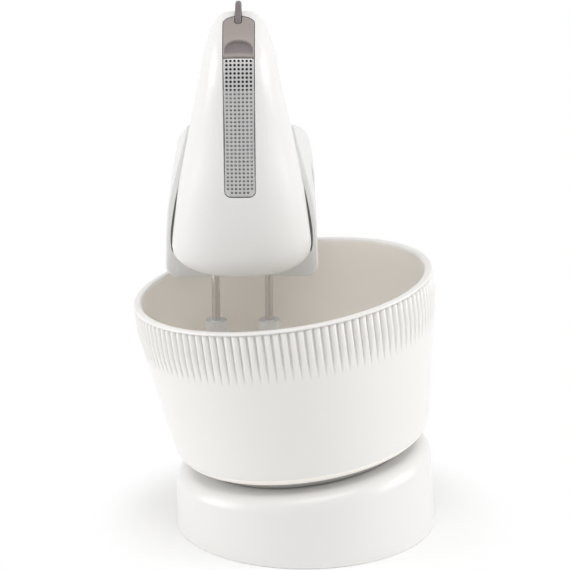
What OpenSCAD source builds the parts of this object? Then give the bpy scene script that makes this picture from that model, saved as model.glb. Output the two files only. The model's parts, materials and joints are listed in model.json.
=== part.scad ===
// Stand mixer: a hand mixer held on a tilting arm over a leaning, power-turned bowl.
// Millimetres. X to the right, Y from the nose of the mixer to the rear, Z up.
// Origin: centre of the underside of the base; the rubber feet stand below it.

/* [Bowl] */
// Inside radius of the bowl at its rim
bowl_r = 100; // [96:0.5:102]
// Height of the bowl along its own axis
bowl_h = 121; // [114:0.5:124]
// Width of the flat lip round the rim
lip_w = 5.9; // [5.4:0.1:6.4]
// Height of the plain band of the lip
lip_h = 5.5; // [4.5:0.25:7]
// Thickness of the bowl's lower wall and floor
bowl_wall = 3; // [2.6:0.1:3.4]
// Depth at which the outside starts to narrow
straight_h = 18.5; // [16:0.5:21]
// Slope of the narrowing wall, degrees
bowl_draft = 9.2; // [8:0.2:10.5]
// Radius round the bottom edge of the bowl
bowl_fillet = 16.5; // [12:0.5:20]
// Lean of the bowl's axis to the left, degrees
bowl_tilt = 7; // [5.5:0.5:7.5]

/* [Gear rim] */
// Number of ribs round the bowl, which are its gear teeth
rim_teeth = 116; // [110:1:120]
// Height of a rib over the groove beside it
rib_depth = 3; // [2.6:0.1:3]
// Share of the pitch that a rib fills
rib_share = 0.86; // [0.8:0.01:0.88]
// Length of the ribbed band
rim_band = 34; // [30:0.5:35]
// Teeth of the pinion that turns the bowl
pinion_teeth = 14; // [13:1:15]
// Face width of the pinion
pinion_face = 12; // [9:0.5:14]

/* [Base] */
// Radius of the round base at the table
base_r = 92.6; // [90:0.5:95]
// Height of the leaning deck at its centre
deck_z = 52.5; // [50:0.5:55]
// Radius of the shoulder round the deck
shoulder_r = 11; // [8:0.5:13]
// Draft of the base's wall, degrees
base_draft = 1.5; // [1:0.25:2]
// Wall of the base
base_wall = 3; // [2.4:0.1:3.4]
// Thickness of the bottom plate
plate_t = 3; // [2.4:0.1:3.6]
// How far the rubber feet stand out below the base
foot_stand = 0.8; // [0.6:0.1:1.4]
// Radius of a rubber foot
foot_r = 9; // [7:0.5:10]
// Height of the rear foot that carries the column
heel_h = 22; // [19:0.5:25]
// Width of the rear foot
heel_w = 92; // [90:0.5:94]
// Rear edge of the rear foot
heel_y = 186; // [180:1:192]

/* [Turntable] */
// Radius of the turntable's upper edge
table_r = 75; // [72:0.5:76]
// Thickness of the turntable
table_t = 5; // [4.5:0.25:5.5]
// Radius of the raised hub that centres the bowl
hub_r = 20; // [17:0.5:22]
// Radius of the turntable's steel spindle
spindle_r = 4; // [3.5:0.25:5]

/* [Column and arm] */
// Width of the column
column_w = 72; // [68:1:76]
// Rear face of the column
column_y = 166; // [162:0.5:168]
// Top of the column
column_z = 172; // [170:0.5:173]
// Wall of the column
column_wall = 3; // [2.4:0.1:3.4]
// Distance of the tilt hinge behind the whisks
hinge_y = 148; // [146:0.5:149]
// Height of the tilt hinge
hinge_z = 175; // [174:0.5:176]
// Radius of the hinge pin
hinge_pin_r = 4; // [3.5:0.25:4.5]
// Radius of the hinge's ears
ear_r = 15; // [13:0.5:16]
// Width of the arm's tray under the mixer
tray_w = 76; // [70:1:80]
// Front edge of the tray
tray_y = 62; // [60:0.5:68]
// Underside of the tray
tray_z = 185; // [184:0.25:186]

/* [Mixer body] */
// Sideways place of the mixer
mixer_x = -43.9; // [-46:0.1:-42]
// Underside of the mixer's front half
belly_z = 185.5; // [184:0.25:187]
// Underside of the mixer's rear half, which the arm carries
seat_z = 205; // [203:0.25:207]
// Rear end of the motor housing
tail_y = 132; // [130:0.5:134]
// Lowest point of the nose
chin_z = 195.5; // [194.5:0.25:196.5]
// Centre of the bend from nose to handle, behind the whisks
bend_y = -16.3; // [-18:0.1:-15]
// Height of the centre of that bend
bend_z = 331.4; // [329:0.2:334]
// Radius of the bend
bend_r = 44; // [43:0.25:45]
// Fall of the handle towards the rear, degrees
handle_fall = 19; // [18:0.5:20]
// Wall of the mixer's shells
shell_wall = 2.5; // [2.1:0.1:2.9]

/* [Nose trim] */
// Width of the perforated strip
strip_w = 20.6; // [19:0.2:21.4]
// Lower end of the perforated strip
strip_z = 256.2; // [252:0.2:262]
// Thickness of the strip
strip_t = 1.4; // [1.2:0.1:1.6]
// Radius of a hole in the strip
hole_r = 0.75; // [0.6:0.05:0.85]
// Columns of holes
hole_columns = 7; // [5:1:7]
// Spacing of the holes across and along the strip
hole_pitch = [2.7, 2.8];
// Width of the eject button
button_w = 21; // [20:0.2:22]
// How far the eject button goes down
button_travel = 3; // [2:0.25:3.5]
// Thickness of the speed slider's fin
fin_t = 5; // [4.5:0.1:5.6]
// Radius of the fin
fin_r = 20; // [19:0.25:20.5]
// Travel of the speed slider
slider_travel = 15; // [10:1:16]

/* [Drive] */
// Height of the motor's axis
motor_z = 228; // [227:0.25:229]
// Distance from the motor's axis to each whisk's axis
whisk_x = 18.7; // [18.5:0.05:18.9]
// Teeth of each worm wheel
wheel_teeth = 32; // [30:1:34]
// Threads of each worm
worm_starts = 2; // [1:1:2]
// Radius of the motor shaft
shaft_r = 2.5; // [2.25:0.05:2.75]
// Radius of a whisk's steel shaft
whisk_shaft_r = 2.85; // [2.7:0.05:3]
// Radius of the whisk at its widest
whisk_r = 21; // [19:0.5:21.5]
// Lowest point of the whisks
whisk_z = 68; // [66:0.5:74]
// Top of the pale collar on a whisk's shaft
collar_z = 151.5; // [149:0.5:154]

/* [Fits] */
// Gap between pieces that seat on each other
seat = 0.3; // [0.25:0.05:0.35]
// Radial clearance of a shaft that turns in its bore
run = 0.05; // [0.03:0.01:0.08]
// Radial gap between the ribbed rim and what stands beside it
rim_gap = 1.5; // [1.2:0.1:2]

/* [Hidden] */
$fn = 64;
eps = 0.01;

white = [0.93, 0.93, 0.92];
pale = [0.86, 0.86, 0.85];
beige = [0.80, 0.77, 0.74];
taupe = [0.66, 0.62, 0.60];
dark = [0.25, 0.25, 0.26];
grey = [0.58, 0.58, 0.57];
steel = [0.72, 0.71, 0.69];
copper = [0.72, 0.45, 0.25];

// ---- The leaning bowl frame: w counts along the bowl's axis from the deck ----
deck_x = -0.3;
table_w = 0.5;
bowl_w = table_w + table_t + seat;
rim_w = bowl_w + bowl_h;
lip_r = bowl_r + lip_w;
groove_r = lip_r - rib_depth;
rim_seat_r = groove_r - 0.9;
rib_top_w = rim_w - lip_h - seat;
rib_end_w = rib_top_w - rim_band;

function cone_r(w) = lip_r - max(0, rim_w - straight_h - w) * tan(bowl_draft);
function arc(c, r, a0, a1, n = 8) = [for (i = [0:n]) c + r * [cos(a0 + (a1 - a0) * i / n), sin(a0 + (a1 - a0) * i / n)]];

module bowl_frame() translate([deck_x, 0, deck_z]) rotate([0, -bowl_tilt, 0]) children();
module mixer_frame() translate([mixer_x, 0, 0]) children();

// ---- Where the bowl's pinion stands: on the tilted line down from the rear worm wheel ----
wheel_r = 14;
pinion_tip_r = 13.3;
mesh_r = groove_r + pinion_tip_r + 0.8;
drop = motor_z - deck_z;
out_x = mixer_x - whisk_x / cos(bowl_tilt);
pin_u = (out_x - deck_x) * cos(bowl_tilt) + drop * sin(bowl_tilt);
pin_v = sqrt(mesh_r * mesh_r - pin_u * pin_u);
wheel_w = drop * cos(bowl_tilt) - (out_x - deck_x) * sin(bowl_tilt) - whisk_x * tan(bowl_tilt);
pinion_w = rib_end_w + 15;
module pinion_frame() bowl_frame() translate([pin_u, pin_v, 0]) children();
function w_at(z) = (z - deck_z - pin_u * sin(bowl_tilt)) / cos(bowl_tilt);

// ---- Shapes used by several pieces ----
module rounded_rect(w, d, r) {
    translate([-w / 2 + r, -d / 2]) square([w - 2 * r, d]);
    translate([-w / 2, -d / 2 + r]) square([w, d - 2 * r]);
    for (x = [-1, 1], y = [-1, 1]) translate([x * (w / 2 - r), y * (d / 2 - r)]) circle(r);
}
module along_x(len) rotate([90, 0, 90]) linear_extrude(len, center = true) children();
module tube(r_out, r_in, h) difference() {
    cylinder(r = r_out, h = h);
    translate([0, 0, -eps]) cylinder(r = r_in, h = h + 2 * eps);
}
module screw(r_head, h_head, r, len) {
    cylinder(r = r_head, h = h_head);
    translate([0, 0, h_head - eps]) cylinder(r = r, h = len + eps);
}
// Closed surface through rings of points, each ring given from inside to outside alike
module skin(rings) {
    n = len(rings[0]);
    m = len(rings);
    middle = function(ring) [for (k = [0:2]) let (s = [for (p = ring) p[k]]) (min(s) + max(s)) / 2];
    points = concat([for (ring = rings) each ring], [middle(rings[0]), middle(rings[m - 1])]);
    faces = concat(
        [for (i = [0:m - 2], j = [0:n - 1]) let (k = (j + 1) % n) [i * n + j, (i + 1) * n + k, i * n + k]],
        [for (i = [0:m - 2], j = [0:n - 1]) let (k = (j + 1) % n) [i * n + j, (i + 1) * n + j, (i + 1) * n + k]],
        [for (j = [0:n - 1]) [m * n, j, (j + 1) % n]],
        [for (j = [0:n - 1]) [m * n + 1, (m - 1) * n + (j + 1) % n, (m - 1) * n + j]]);
    polyhedron(points, faces, convexity = 8);
}
module spring(r, wire, h, turns, steps = 12) {
    rings = [for (i = [0:turns * steps]) let (a = 360 * i / steps, z = wire + (h - 2 * wire) * i / (turns * steps))
        [for (j = [0:5]) [(r + wire * cos(60 * j)) * cos(a), (r + wire * cos(60 * j)) * sin(a), z + wire * sin(60 * j)]]];
    skin(rings);
}

// ---- Base ----
heel_front = 30;
module base_body(inset) intersection() {
    rotate([0, -base_draft, 0]) translate([0, 0, -20])
        cylinder(r1 = base_r - inset + 20 * tan(base_draft), r2 = base_r - inset - 80 * tan(base_draft), h = 100);
    translate([-200, -200, inset > 0 ? -5 : 0]) cube([400, 400, 100]);
    // the shoulder's flare stays outside the drafted wall on the side the bowl leans to
    bowl_frame() translate([-2.4, 0, -100]) rotate_extrude() let (c = base_r - shoulder_r - 0.4, f = shoulder_r - inset)
        polygon(concat([[0, 0], [0, 100 - inset]], arc([c, 100 - shoulder_r], f, 90, 8),
            [[c + f * cos(8) + 100 * tan(8), f * sin(8) - shoulder_r]]));
}
module heel_outline(inset) translate([mixer_x, (heel_y + heel_front) / 2])
    rounded_rect(heel_w - 2 * inset, heel_y - heel_front - 2 * inset, 14 - inset);
module heel_body(inset) translate([0, 0, inset > 0 ? -5 : 0])
    linear_extrude(heel_h + (inset > 0 ? 5 - inset : 0)) heel_outline(inset);
foot_places = [[0, -72], [66, 18], [-62, -42], [mixer_x - 30, heel_y - 18], [mixer_x + 30, heel_y - 18]];
screw_places = [[50, -50], [-72, 8], [mixer_x, heel_y - 12]];
column_screw_places = [[mixer_x - 26, column_y - 12], [mixer_x + 26, column_y - 12]];
boss_r = 5;
bush_r = spindle_r + 4;

module base_housing() color(white) difference() {
    union() {
        difference() {
            union() {
                base_body(0);
                heel_body(0);
            }
            base_body(base_wall);
            heel_body(base_wall);
        }
        // boss that holds the spindle's bush
        bowl_frame() translate([0, 0, 0.5 - bush_len]) cylinder(r = bush_r + 4, h = bush_len - 0.5 - base_wall / 2);
        // screw bosses stand on the plate
        intersection() {
            union() {
                base_body(base_wall / 2);
                heel_body(base_wall / 2);
            }
            for (p = screw_places) translate([p[0], p[1], plate_t + seat]) cylinder(r = boss_r, h = 80);
        }
    }
    bowl_frame() translate([0, 0, -40]) cylinder(r = bush_r + run, h = 60);
    for (p = screw_places) translate([p[0], p[1], -1]) cylinder(r = 1.5, h = 14);
    for (p = column_screw_places) translate([p[0], p[1], heel_h - 6]) cylinder(r = 2.2, h = 12);
}
module plate_outline(inset) {
    circle(base_r - inset);
    heel_outline(inset);
}
module base_plate() color(white) difference() {
    linear_extrude(plate_t) plate_outline(base_wall + seat);
    for (p = foot_places) translate([p[0], p[1], -1]) cylinder(r = foot_r + seat, h = 1 + plate_t / 2);
    for (p = screw_places) translate([p[0], p[1], -1]) {
        cylinder(r = 1.8, h = 10);
        cylinder(r = 3.4, h = 1 + plate_t / 2);
    }
}
module base_screws() color(steel) for (p = screw_places) translate([p[0], p[1], 0.1]) screw(3, plate_t / 2 - 0.1, 1.45, 10);
module rubber_feet() color(dark) for (p = foot_places) translate([p[0], p[1], -foot_stand])
    rotate_extrude() polygon([[0, 0], [foot_r - 0.8, 0], [foot_r, 0.8], [foot_r, foot_stand + plate_t / 2], [0, foot_stand + plate_t / 2]]);

// ---- Turntable ----
bush_len = 26;
hub_h = 3;
clip_w = 0.2 - bush_len - 2 - seat - 1;
module spindle_bush() color(grey) bowl_frame() translate([0, 0, 0.2 - bush_len]) {
    tube(bush_r, spindle_r + run, bush_len);
    translate([0, 0, -2]) tube(bush_r + 2, spindle_r + run, 2);
}
module turntable() color(grey) bowl_frame() difference() {
    union() {
        translate([0, 0, table_w]) cylinder(r1 = table_r - 3.6, r2 = table_r, h = table_t);
        translate([0, 0, table_w]) cylinder(r = hub_r, h = table_t + hub_h);
    }
    translate([0, 0, -1]) cylinder(r = spindle_r + run, h = table_t + 2);
}
module turntable_spindle() color(steel) bowl_frame() difference() {
    translate([0, 0, clip_w - 3]) cylinder(r = spindle_r, h = table_w + table_t - clip_w + 3);
    translate([0, 0, clip_w - 0.1]) tube(spindle_r + 1, spindle_r - 0.8, 1.2);
}
module spindle_clip() color(steel) bowl_frame() translate([0, 0, clip_w]) difference() {
    tube(spindle_r + 3, spindle_r - 0.7, 1);
    translate([0, -1.5, -1]) cube([spindle_r + 5, 3, 4]);
}

// ---- Bowl and its ribbed rim ----
module bowl() color(white) bowl_frame() {
    d = bowl_draft;
    out_c = bowl_w + bowl_fillet;
    in_f = bowl_fillet - bowl_wall;
    floor_w = bowl_w + bowl_wall;
    rotate_extrude() polygon(concat(
        [[0, bowl_w + hub_h], [hub_r + 0.4, bowl_w + hub_h], [hub_r + 0.4, bowl_w]],
        arc([cone_r(out_c) - bowl_fillet / cos(d), out_c], bowl_fillet, -90, -d),
        [[cone_r(rib_end_w - seat), rib_end_w - seat], [rim_seat_r - seat, rib_end_w - seat],
            [rim_seat_r - seat, rim_w - lip_h]],
        [[lip_r, rim_w - lip_h]],
        arc([lip_r - 1.2, rim_w - 1.2], 1.2, 0, 90, 4),
        arc([bowl_r + 1, rim_w - 1], 1, 90, 180, 4),
        [[cone_r(rib_end_w) - bowl_wall / cos(d), rib_end_w]],
        arc([cone_r(floor_w + in_f) - bowl_wall / cos(d) - in_f / cos(d), floor_w + in_f], in_f, -d, -90),
        [[hub_r + 6, floor_w], [hub_r + 3, floor_w + hub_h], [0, floor_w + hub_h]]));
}
function rib_r(f) = groove_r + rib_depth * sqrt(max(0, 1 - pow(2 * f / rib_share, 2)));
module bowl_gear_rim() color(white) bowl_frame() intersection() {
    translate([0, 0, rib_end_w]) linear_extrude(rib_top_w - rib_end_w) difference() {
        polygon([for (i = [0:rim_teeth - 1], k = [-0.5, -0.42, -0.22, 0, 0.22, 0.42, 0.5])
            let (f = k * rib_share, a = rim_phase + 360 * (i + f) / rim_teeth) rib_r(f) * [cos(a), sin(a)]]);
        circle(rim_seat_r, $fn = 360);
    }
    // the narrowing wall trims the ribs away towards their lower ends
    rotate_extrude($fn = 360) polygon([[rim_seat_r - 1, rib_end_w - 1], [cone_r(rib_end_w - 1), rib_end_w - 1],
        [lip_r + (rib_top_w + 1 - rim_w + straight_h) * tan(bowl_draft), rib_top_w + 1], [rim_seat_r - 1, rib_top_w + 1]]);
}

// ---- Bowl drive in the column ----
pin_a = atan2(pin_v, pin_u);
rim_phase = pin_a + 180 / rim_teeth;
pin_r = 3;
dog_w = w_at(tray_z) - 5.5;
shaft_low = pinion_w - 16;
module pinion() color(beige) pinion_frame() translate([0, 0, pinion_w]) rotate([0, 0, pin_a + 180]) difference() {
    linear_extrude(pinion_face) difference() {
        polygon([for (i = [0:pinion_teeth - 1], p = [[9.6, -1.5], [11.4, -1.1], [12.6, -0.5], [pinion_tip_r, -0.25],
            [pinion_tip_r, 0.25], [12.6, 0.5], [11.4, 1.1], [9.6, 1.5]])
            let (a = 360 * i / pinion_teeth + atan2(p[1], p[0])) p[0] * [cos(a), sin(a)]]);
        circle(pin_r + run);
    }
}
module pinion_shaft() color(steel) pinion_frame() translate([0, 0, shaft_low]) cylinder(r = pin_r, h = dog_w - shaft_low + 4);
bush_h = 5;
bush_low = pinion_w - 7;
bush_high = pinion_w + pinion_face + 2;
module pinion_bushes() color(grey) pinion_frame() for (w = [bush_low, bush_high]) translate([0, 0, w]) tube(pin_r + 2, pin_r + run, bush_h);
dog_r = 9;
dog_tooth = 2.5;
module dog_teeth() intersection() {
    tube(dog_r - 0.2, 4.5, dog_tooth);
    for (a = [0, 120, 240]) rotate([0, 0, a]) linear_extrude(dog_tooth)
        polygon([[0, 0], 14 * [cos(20), -sin(20)], 14 * [cos(20), sin(20)]]);
}
module lower_dog() color(beige) pinion_frame() translate([0, 0, dog_w]) {
    tube(dog_r, pin_r + run, 4);
    translate([0, 0, 4 - eps]) dog_teeth();
}

// ---- Column ----
column_front = 84;
module column_body(inset, z0, z1) difference() {
    translate([mixer_x, (column_front + column_y) / 2, z0]) linear_extrude(z1 - z0)
        rounded_rect(column_w - 2 * inset, column_y - column_front - 2 * inset, 12 - inset);
    bowl_frame() translate([0, 0, -80]) cylinder(r = lip_r + rim_gap + inset, h = 300);
}
ear_x = 24;
module ears() for (x = [-1, 1]) translate([x * (ear_x + (column_w / 2 - ear_x) / 2), 0, 0]) {
    translate([0, hinge_y, hinge_z]) rotate([0, 90, 0]) cylinder(r = ear_r, h = column_w / 2 - ear_x, center = true);
    translate([0, hinge_y, (hinge_z + column_z) / 2 - 3]) cube([column_w / 2 - ear_x, 2 * ear_r, hinge_z - column_z + 6], center = true);
}
button_y = hinge_y;
module column() color(white) difference() {
    union() {
        difference() {
            column_body(0, heel_h, column_z);
            intersection() {
                column_body(column_wall, heel_h + column_wall, column_z - column_wall);
                translate([mixer_x - 100, 0, 0]) cube([200, 300, 300]);
            }
            // open rear, closed by the cover
            translate([mixer_x - column_w / 2 + 9, column_y - 8, heel_h + 12]) cube([column_w - 18, 20, column_z - heel_h - 24]);
        }
        // shelves that hold the pinion's bushes
        intersection() {
            column_body(column_wall - eps, heel_h + 5, column_z - 1);
            pinion_frame() for (w = [bush_low, bush_high]) translate([-100, -40, w]) cube([200, 60, bush_h]);
        }
        mixer_frame() ears();
        for (p = column_screw_places) translate([p[0], p[1], heel_h + 1]) cylinder(r = 5, h = 12);
    }
    // window for the pinion
    pinion_frame() translate([0, 0, pinion_w - 1.5]) cylinder(r = pinion_tip_r + 1.5, h = pinion_face + 3);
    pinion_frame() for (w = [bush_low, bush_high]) translate([0, 0, w - 1]) cylinder(r = pin_r + 2, h = bush_h + 2);
    pinion_frame() translate([0, 0, bush_high]) cylinder(r = pin_r + 1.5, h = dog_w - bush_high);
    // room for the arm's knuckle, the hinge pin and the tilt button
    mixer_frame() translate([0, hinge_y, hinge_z]) rotate([0, 90, 0]) {
        cylinder(r = ear_r + 1.5, h = 2 * ear_x, center = true);
        cylinder(r = hinge_pin_r + run, h = 200, center = true);
        translate([slot_r, 0, 0]) cylinder(r = button_pin_r + run, h = 60);
        translate([slot_r, 0, column_w / 2 - 6]) cylinder(r = 4.3, h = 20);
    }
    for (p = column_screw_places) translate([p[0], p[1], heel_h - 1]) cylinder(r = 1.7, h = 11);
}
module column_cover() color(pale) difference() {
    translate([mixer_x - column_w / 2 + 9 + seat, column_y - 3, heel_h + 12 + seat])
        cube([column_w - 18 - 2 * seat, 2.6, column_z - heel_h - 24 - 2 * seat]);
    for (z = cover_screw_z) translate([mixer_x, column_y, z]) rotate([90, 0, 0]) cylinder(r = 1.6, h = 10);
}
cover_screw_z = [heel_h + 30, column_z - 30];
module column_screws() color(steel) {
    for (p = column_screw_places) translate([p[0], p[1], heel_h - base_wall - 2.2]) screw(3.4, 2, 1.65, 10);
}

// ---- Tilting arm ----
knuckle_r = ear_r - 0.5;
slot_r = 10;
button_pin_r = 1.9;
tilt_travel = 4;
tilt_range = 50;
catch_x = 11;
catch_w = 13;
catch_travel = 6;
catch_z = seat_z - 7;
module arm_profile() polygon([[tray_y + 8, tray_z], [hinge_y - 32, tray_z], [hinge_y - 17, tray_z + 4],
    [hinge_y - 17, seat_z - seat], [tray_y + 3, seat_z - seat], [tray_y, seat_z - seat - 3], [tray_y, tray_z + 8]]);
module neck_profile() polygon([[hinge_y - 40, tray_z], [hinge_y - 30, tray_z], [hinge_y - knuckle_r + 0.1, hinge_z],
    [hinge_y, hinge_z], [hinge_y + 8, hinge_z + 12], [hinge_y - 4, tray_z + 9], [hinge_y - 17.5, seat_z - seat - 0.5],
    [hinge_y - 40, seat_z - seat - 0.5]]);
module tilt_slot() let (r = button_pin_r + 0.5) {
    polygon(concat(arc([0, 0], slot_r + r, 180, 180 - tilt_range, 12), arc([0, 0], slot_r - r, 180 - tilt_range, 180, 12)));
    for (a = [180, 180 - tilt_range]) translate(slot_r * [cos(a), sin(a)]) circle(r + 0.1);
}
module arm() color(pale) difference() {
    mixer_frame() union() {
        intersection() {
            along_x(tray_w) arm_profile();
            translate([0, tray_y + 50, 100]) linear_extrude(200) rounded_rect(tray_w, 100, 10);
        }
        along_x(2 * ear_x - 1) neck_profile();
        translate([0, hinge_y, hinge_z]) rotate([0, 90, 0]) cylinder(r = knuckle_r, h = 2 * ear_x - 1, center = true);
    }
    mixer_frame() {
        // hollows under the front of the tray
        for (x = [-tray_w / 2 + 3, 2]) translate([x, tray_y + 3, tray_z - 1]) cube([tray_w / 2 - 5, 29, seat_z - tray_z - 3]);
        translate([0, hinge_y, hinge_z]) rotate([0, 90, 0]) cylinder(r = hinge_pin_r + run, h = 100, center = true);
        // curved slot for the tilt button's pin
        translate([ear_x + 1, hinge_y, hinge_z]) rotate([0, -90, 0]) linear_extrude(8) tilt_slot();
        // groove of the catch, open to the rear
        translate([catch_x - catch_w / 2 - seat, hinge_y - 46, catch_z - seat]) cube([catch_w + 2 * seat, 80, 30]);
    }
    // well for the dog coupling
    pinion_frame() translate([0, 0, dog_w - 8]) cylinder(r = dog_r + 5, h = 60);
}
module hinge_pin() color(steel) mixer_frame() translate([0, hinge_y, hinge_z]) rotate([0, 90, 0])
    cylinder(r = hinge_pin_r, h = column_w - 1, center = true);
module tilt_button() color(taupe) mixer_frame() translate([0, hinge_y, hinge_z - slot_r]) rotate([0, 90, 0]) {
    translate([0, 0, ear_x - 2]) cylinder(r = button_pin_r, h = column_w / 2 + 5 - ear_x + 2);
    translate([0, 0, column_w / 2 + tilt_travel + 0.5]) cylinder(r = 5.5, h = 3);
}
module tilt_spring() color(steel) mixer_frame() translate([column_w / 2 - 6, hinge_y, hinge_z - slot_r]) rotate([0, 90, 0])
    spring(3.1, 0.35, 6 + tilt_travel + 0.5, 5);
module mixer_catch() color(taupe) mixer_frame() translate([catch_x - catch_w / 2, 0, catch_z]) difference() {
    union() {
        translate([0, hinge_y - 37, 0]) cube([catch_w, 27, 6]);
        translate([2, hinge_y - 37, 0]) cube([catch_w - 4, 4, seat_z + shell_wall + 3 - catch_z]);
        translate([2, hinge_y - 40, seat_z + shell_wall + 0.5 - catch_z]) cube([catch_w - 4, 4, 2.5]);
        translate([0, hinge_y - 12, 0]) cube([catch_w, 3, 9 - 3]);
    }
    translate([-1, hinge_y - 13, -1]) cube([catch_w + 2, 1, 2]);
}
module catch_spring() color(steel) mixer_frame() translate([catch_x, hinge_y - 46 + seat, catch_z + 3]) rotate([-90, 0, 0])
    spring(2.4, 0.35, 9 - 2 * seat, 5);

// ---- Housing of the motor: its pale sides flank the nose ----
deck_y = -9;
deck_h = 295;
deck_slope = 0.2477;
corner_r = 8.4;
tail_r = 12;
side_w = [[180, 53.7], [185, 53.6], [222, 52.4], [240, 50.8], [256, 47.1], [291, 37.9], [300, 35.5]];
function deck_at(y) = deck_h - (y - deck_y) * deck_slope;
function floor_at(y) = lookup(y, [[50, belly_z], [58, seat_z]]);
function top_r(y) = lookup(y, [[deck_y, 2.5], [30, 9], [90, 16]]);
function tail_in(q) = tail_r * (1 - cos(q));
function housing_half(y, d, c) = let (z0 = floor_at(y) + d, z1 = deck_at(y) - d, r0 = max(corner_r - d, 1.5), r1 = max(top_r(y) - d / 2, 1),
    w = function(z) lookup(z, side_w) - d) concat(
    [[w(z0) * 0.4, z0]],
    [for (a = [0:18:90]) [w(z0 + r0) - r0 + r0 * sin(a), z0 + r0 - r0 * cos(a)]],
    [for (k = [1:5]) let (z = z0 + r0 + (z1 - r1 - z0 - r0) * k / 6) [w(z), z]],
    [for (a = [0:18:90]) [w(z1 - r1) - r1 + r1 * cos(a), z1 - r1 + r1 * sin(a)]],
    [[w(z1) * 0.4, z1]]);
function housing_ring(y, d, c = 0) = let (h = housing_half(y, d, c), n = len(h))
    [for (p = concat(h, [for (i = [n - 1:-1:0]) [-h[i][0], h[i][1]]])) [p[0], y, p[1]]];
// rings run to the rear, counterclockwise as seen from the rear
function reversed(v) = [for (i = [len(v) - 1:-1:0]) v[i]];
function housing_rings(d) = [for (s = concat(
    [for (y = [deck_y - (d > 0 ? 1 : 0), 10, 30, 50, 58, 75, 95, tail_y - tail_r]) [y, 0]],
    [for (q = [22.5:22.5:90]) [tail_y - d - tail_r + (tail_r - (d > 0 ? 0 : 0)) * sin(q), q]]))
    reversed(housing_ring(s[0], d + (s[1] > 0 ? tail_in(s[1]) : 0)))];
module housing_solid(d) skin(housing_rings(d));
socket_r = 9.5;
front_t = 2.5;
module nose_opening() translate([0, deck_y + 6, 0]) rotate([90, 0, 0]) linear_extrude(12)
    polygon(concat([for (z = [202:12:286]) [nose_w(z) - 7.5, z]], [for (z = [286:-12:202]) [7.5 - nose_w(z), z]]));
nose_screws = [[-44.3, 206], [44.3, 206], [-34, 278], [34, 278]];
belly_screws = [[-34, 14], [34, 14], [-34, 90], [34, 90]];
post_screws = [[-7, 97], [7, 97]];
function floor_in(y) = floor_at(y) + shell_wall;
module motor_housing() color(pale) difference() {
    mixer_frame() difference() {
        housing_solid(0);
        difference() {
            housing_solid(shell_wall);
            translate([-100, deck_y - 20, 0]) cube([200, 20 + front_t, 500]);
        }
        nose_opening();
        for (x = [-whisk_x, whisk_x]) translate([x, 0, belly_z - 5]) cylinder(r = socket_r, h = 12, $fn = 40);
        for (p = belly_screws) translate([p[0], p[1], floor_at(p[1]) - 5]) {
            cylinder(r = 1.8, h = 12, $fn = 20);
            cylinder(r = 3.4, h = 6, $fn = 20);
        }
        for (p = nose_screws) translate([p[0], deck_y - 4, p[1]]) rotate([-90, 0, 0]) cylinder(r = 1.8, h = 10, $fn = 20);
        for (p = post_screws) translate([p[0], p[1], 250]) cylinder(r = 1.8, h = 40, $fn = 20);
        translate([catch_x - catch_w / 2 + 1, hinge_y - 44, seat_z - 3]) cube([catch_w - 2, 18, 9]);
        // cooling slots low on both sides, and the cord's hole
        for (y = [44:5:74]) translate([-80, y, 232]) cube([160, 2.2, 14]);
        translate([gland_x, tail_y - 10, gland_z]) rotate([-90, 0, 0]) cylinder(r = 6, h = 20, $fn = 32);
    }
    pinion_frame() translate([0, 0, dog_w]) cylinder(r = 7, h = 40, $fn = 32);
}
gland_x = 20;
gland_z = 236;
module cord_inlet() color(dark) mixer_frame() translate([gland_x, tail_y - shell_wall - 2, gland_z]) rotate([-90, 0, 0]) {
    tube(5.7, 3.2, shell_wall + 4);
    translate([0, 0, shell_wall + 2 + seat]) tube(8, 3.2, 2);
    translate([0, 0, -1]) tube(8, 3.2, 2.7);
}
module housing_screws() color(steel) mixer_frame() {
    for (p = belly_screws) translate([p[0], p[1], floor_at(p[1]) - 0]) translate([0, 0, 0]) screw(3, 0.9, 1.5, 12);
    for (p = nose_screws) translate([p[0], deck_y + front_t + 2.3, p[1]]) rotate([90, 0, 0]) screw(3, 2, 1.5, 12);
    for (p = post_screws) translate([p[0], p[1], deck_at(p[1]) - shell_wall - 4]) screw(3, 2, 1.5, 12);
}

// ---- Nose, handle and post in one shell ----
ring_n = 36;
function nose_w(z) = lookup(z, [[195.5, 48.8], [214, 48.3], [234, 45.8], [248, 44], [262, 41.7], [298, 34.4], [331.4, 27.5]]);
function nose_front(z) = lookup(z, [[195.5, -46.6], [258, -54], [300, -58.2], [327.5, -60.1], [331.4, -60.3]]);
function nose_mid(z) = lookup(z, [[285, -14], [300, -20], [310, -25], [320, -28.5], [331.4, bend_y - 14]]);
function nose_rear(z) = lookup(z, [[270, -3], [285, -5], [300, -14], [310, -19.5], [320, -22.5], [331.4, bend_y - 7]]);
// Section point: half-width w, depth a out or in, roundness n and taper k of the outer half
function oval(w, a_out, a_in, n_out, n_in, k, a) = let (c = cos(a), s = sin(a), n = s > 0 ? n_out : n_in, t = pow(abs(s), 2 / n))
    [-w * (1 - (s > 0 ? k * t : 0)) * sign(c) * pow(abs(c), 2 / n), (s > 0 ? a_out : -a_in) * t];
function oval_ring(w, a_out, a_in, n_out, n_in, k) = [for (i = [0:ring_n - 1]) oval(w, a_out, a_in, n_out, n_in, k, 360 * (i + 0.5) / ring_n)];
function low_ring(z, d, df) = let (q = min(1, max(0, (z - chin_z - d) / (16 - d))), b = 1 - sqrt(max(0, 1 - (1 - q) * (1 - q))),
    m = nose_mid(z), r = oval_ring(nose_w(z) - d - 22 * b, m - nose_front(z) - df - 7 * b, nose_rear(z) - m - d,
        lookup(z, [[214, 2.3], [300, 2.6], [331, 3]]), lookup(z, [[285, 9], [320, 3.5]]), lookup(z, [[214, 0], [331, 0.15]])))
    [for (p = r) [p[0], m - p[1], z]];
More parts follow.
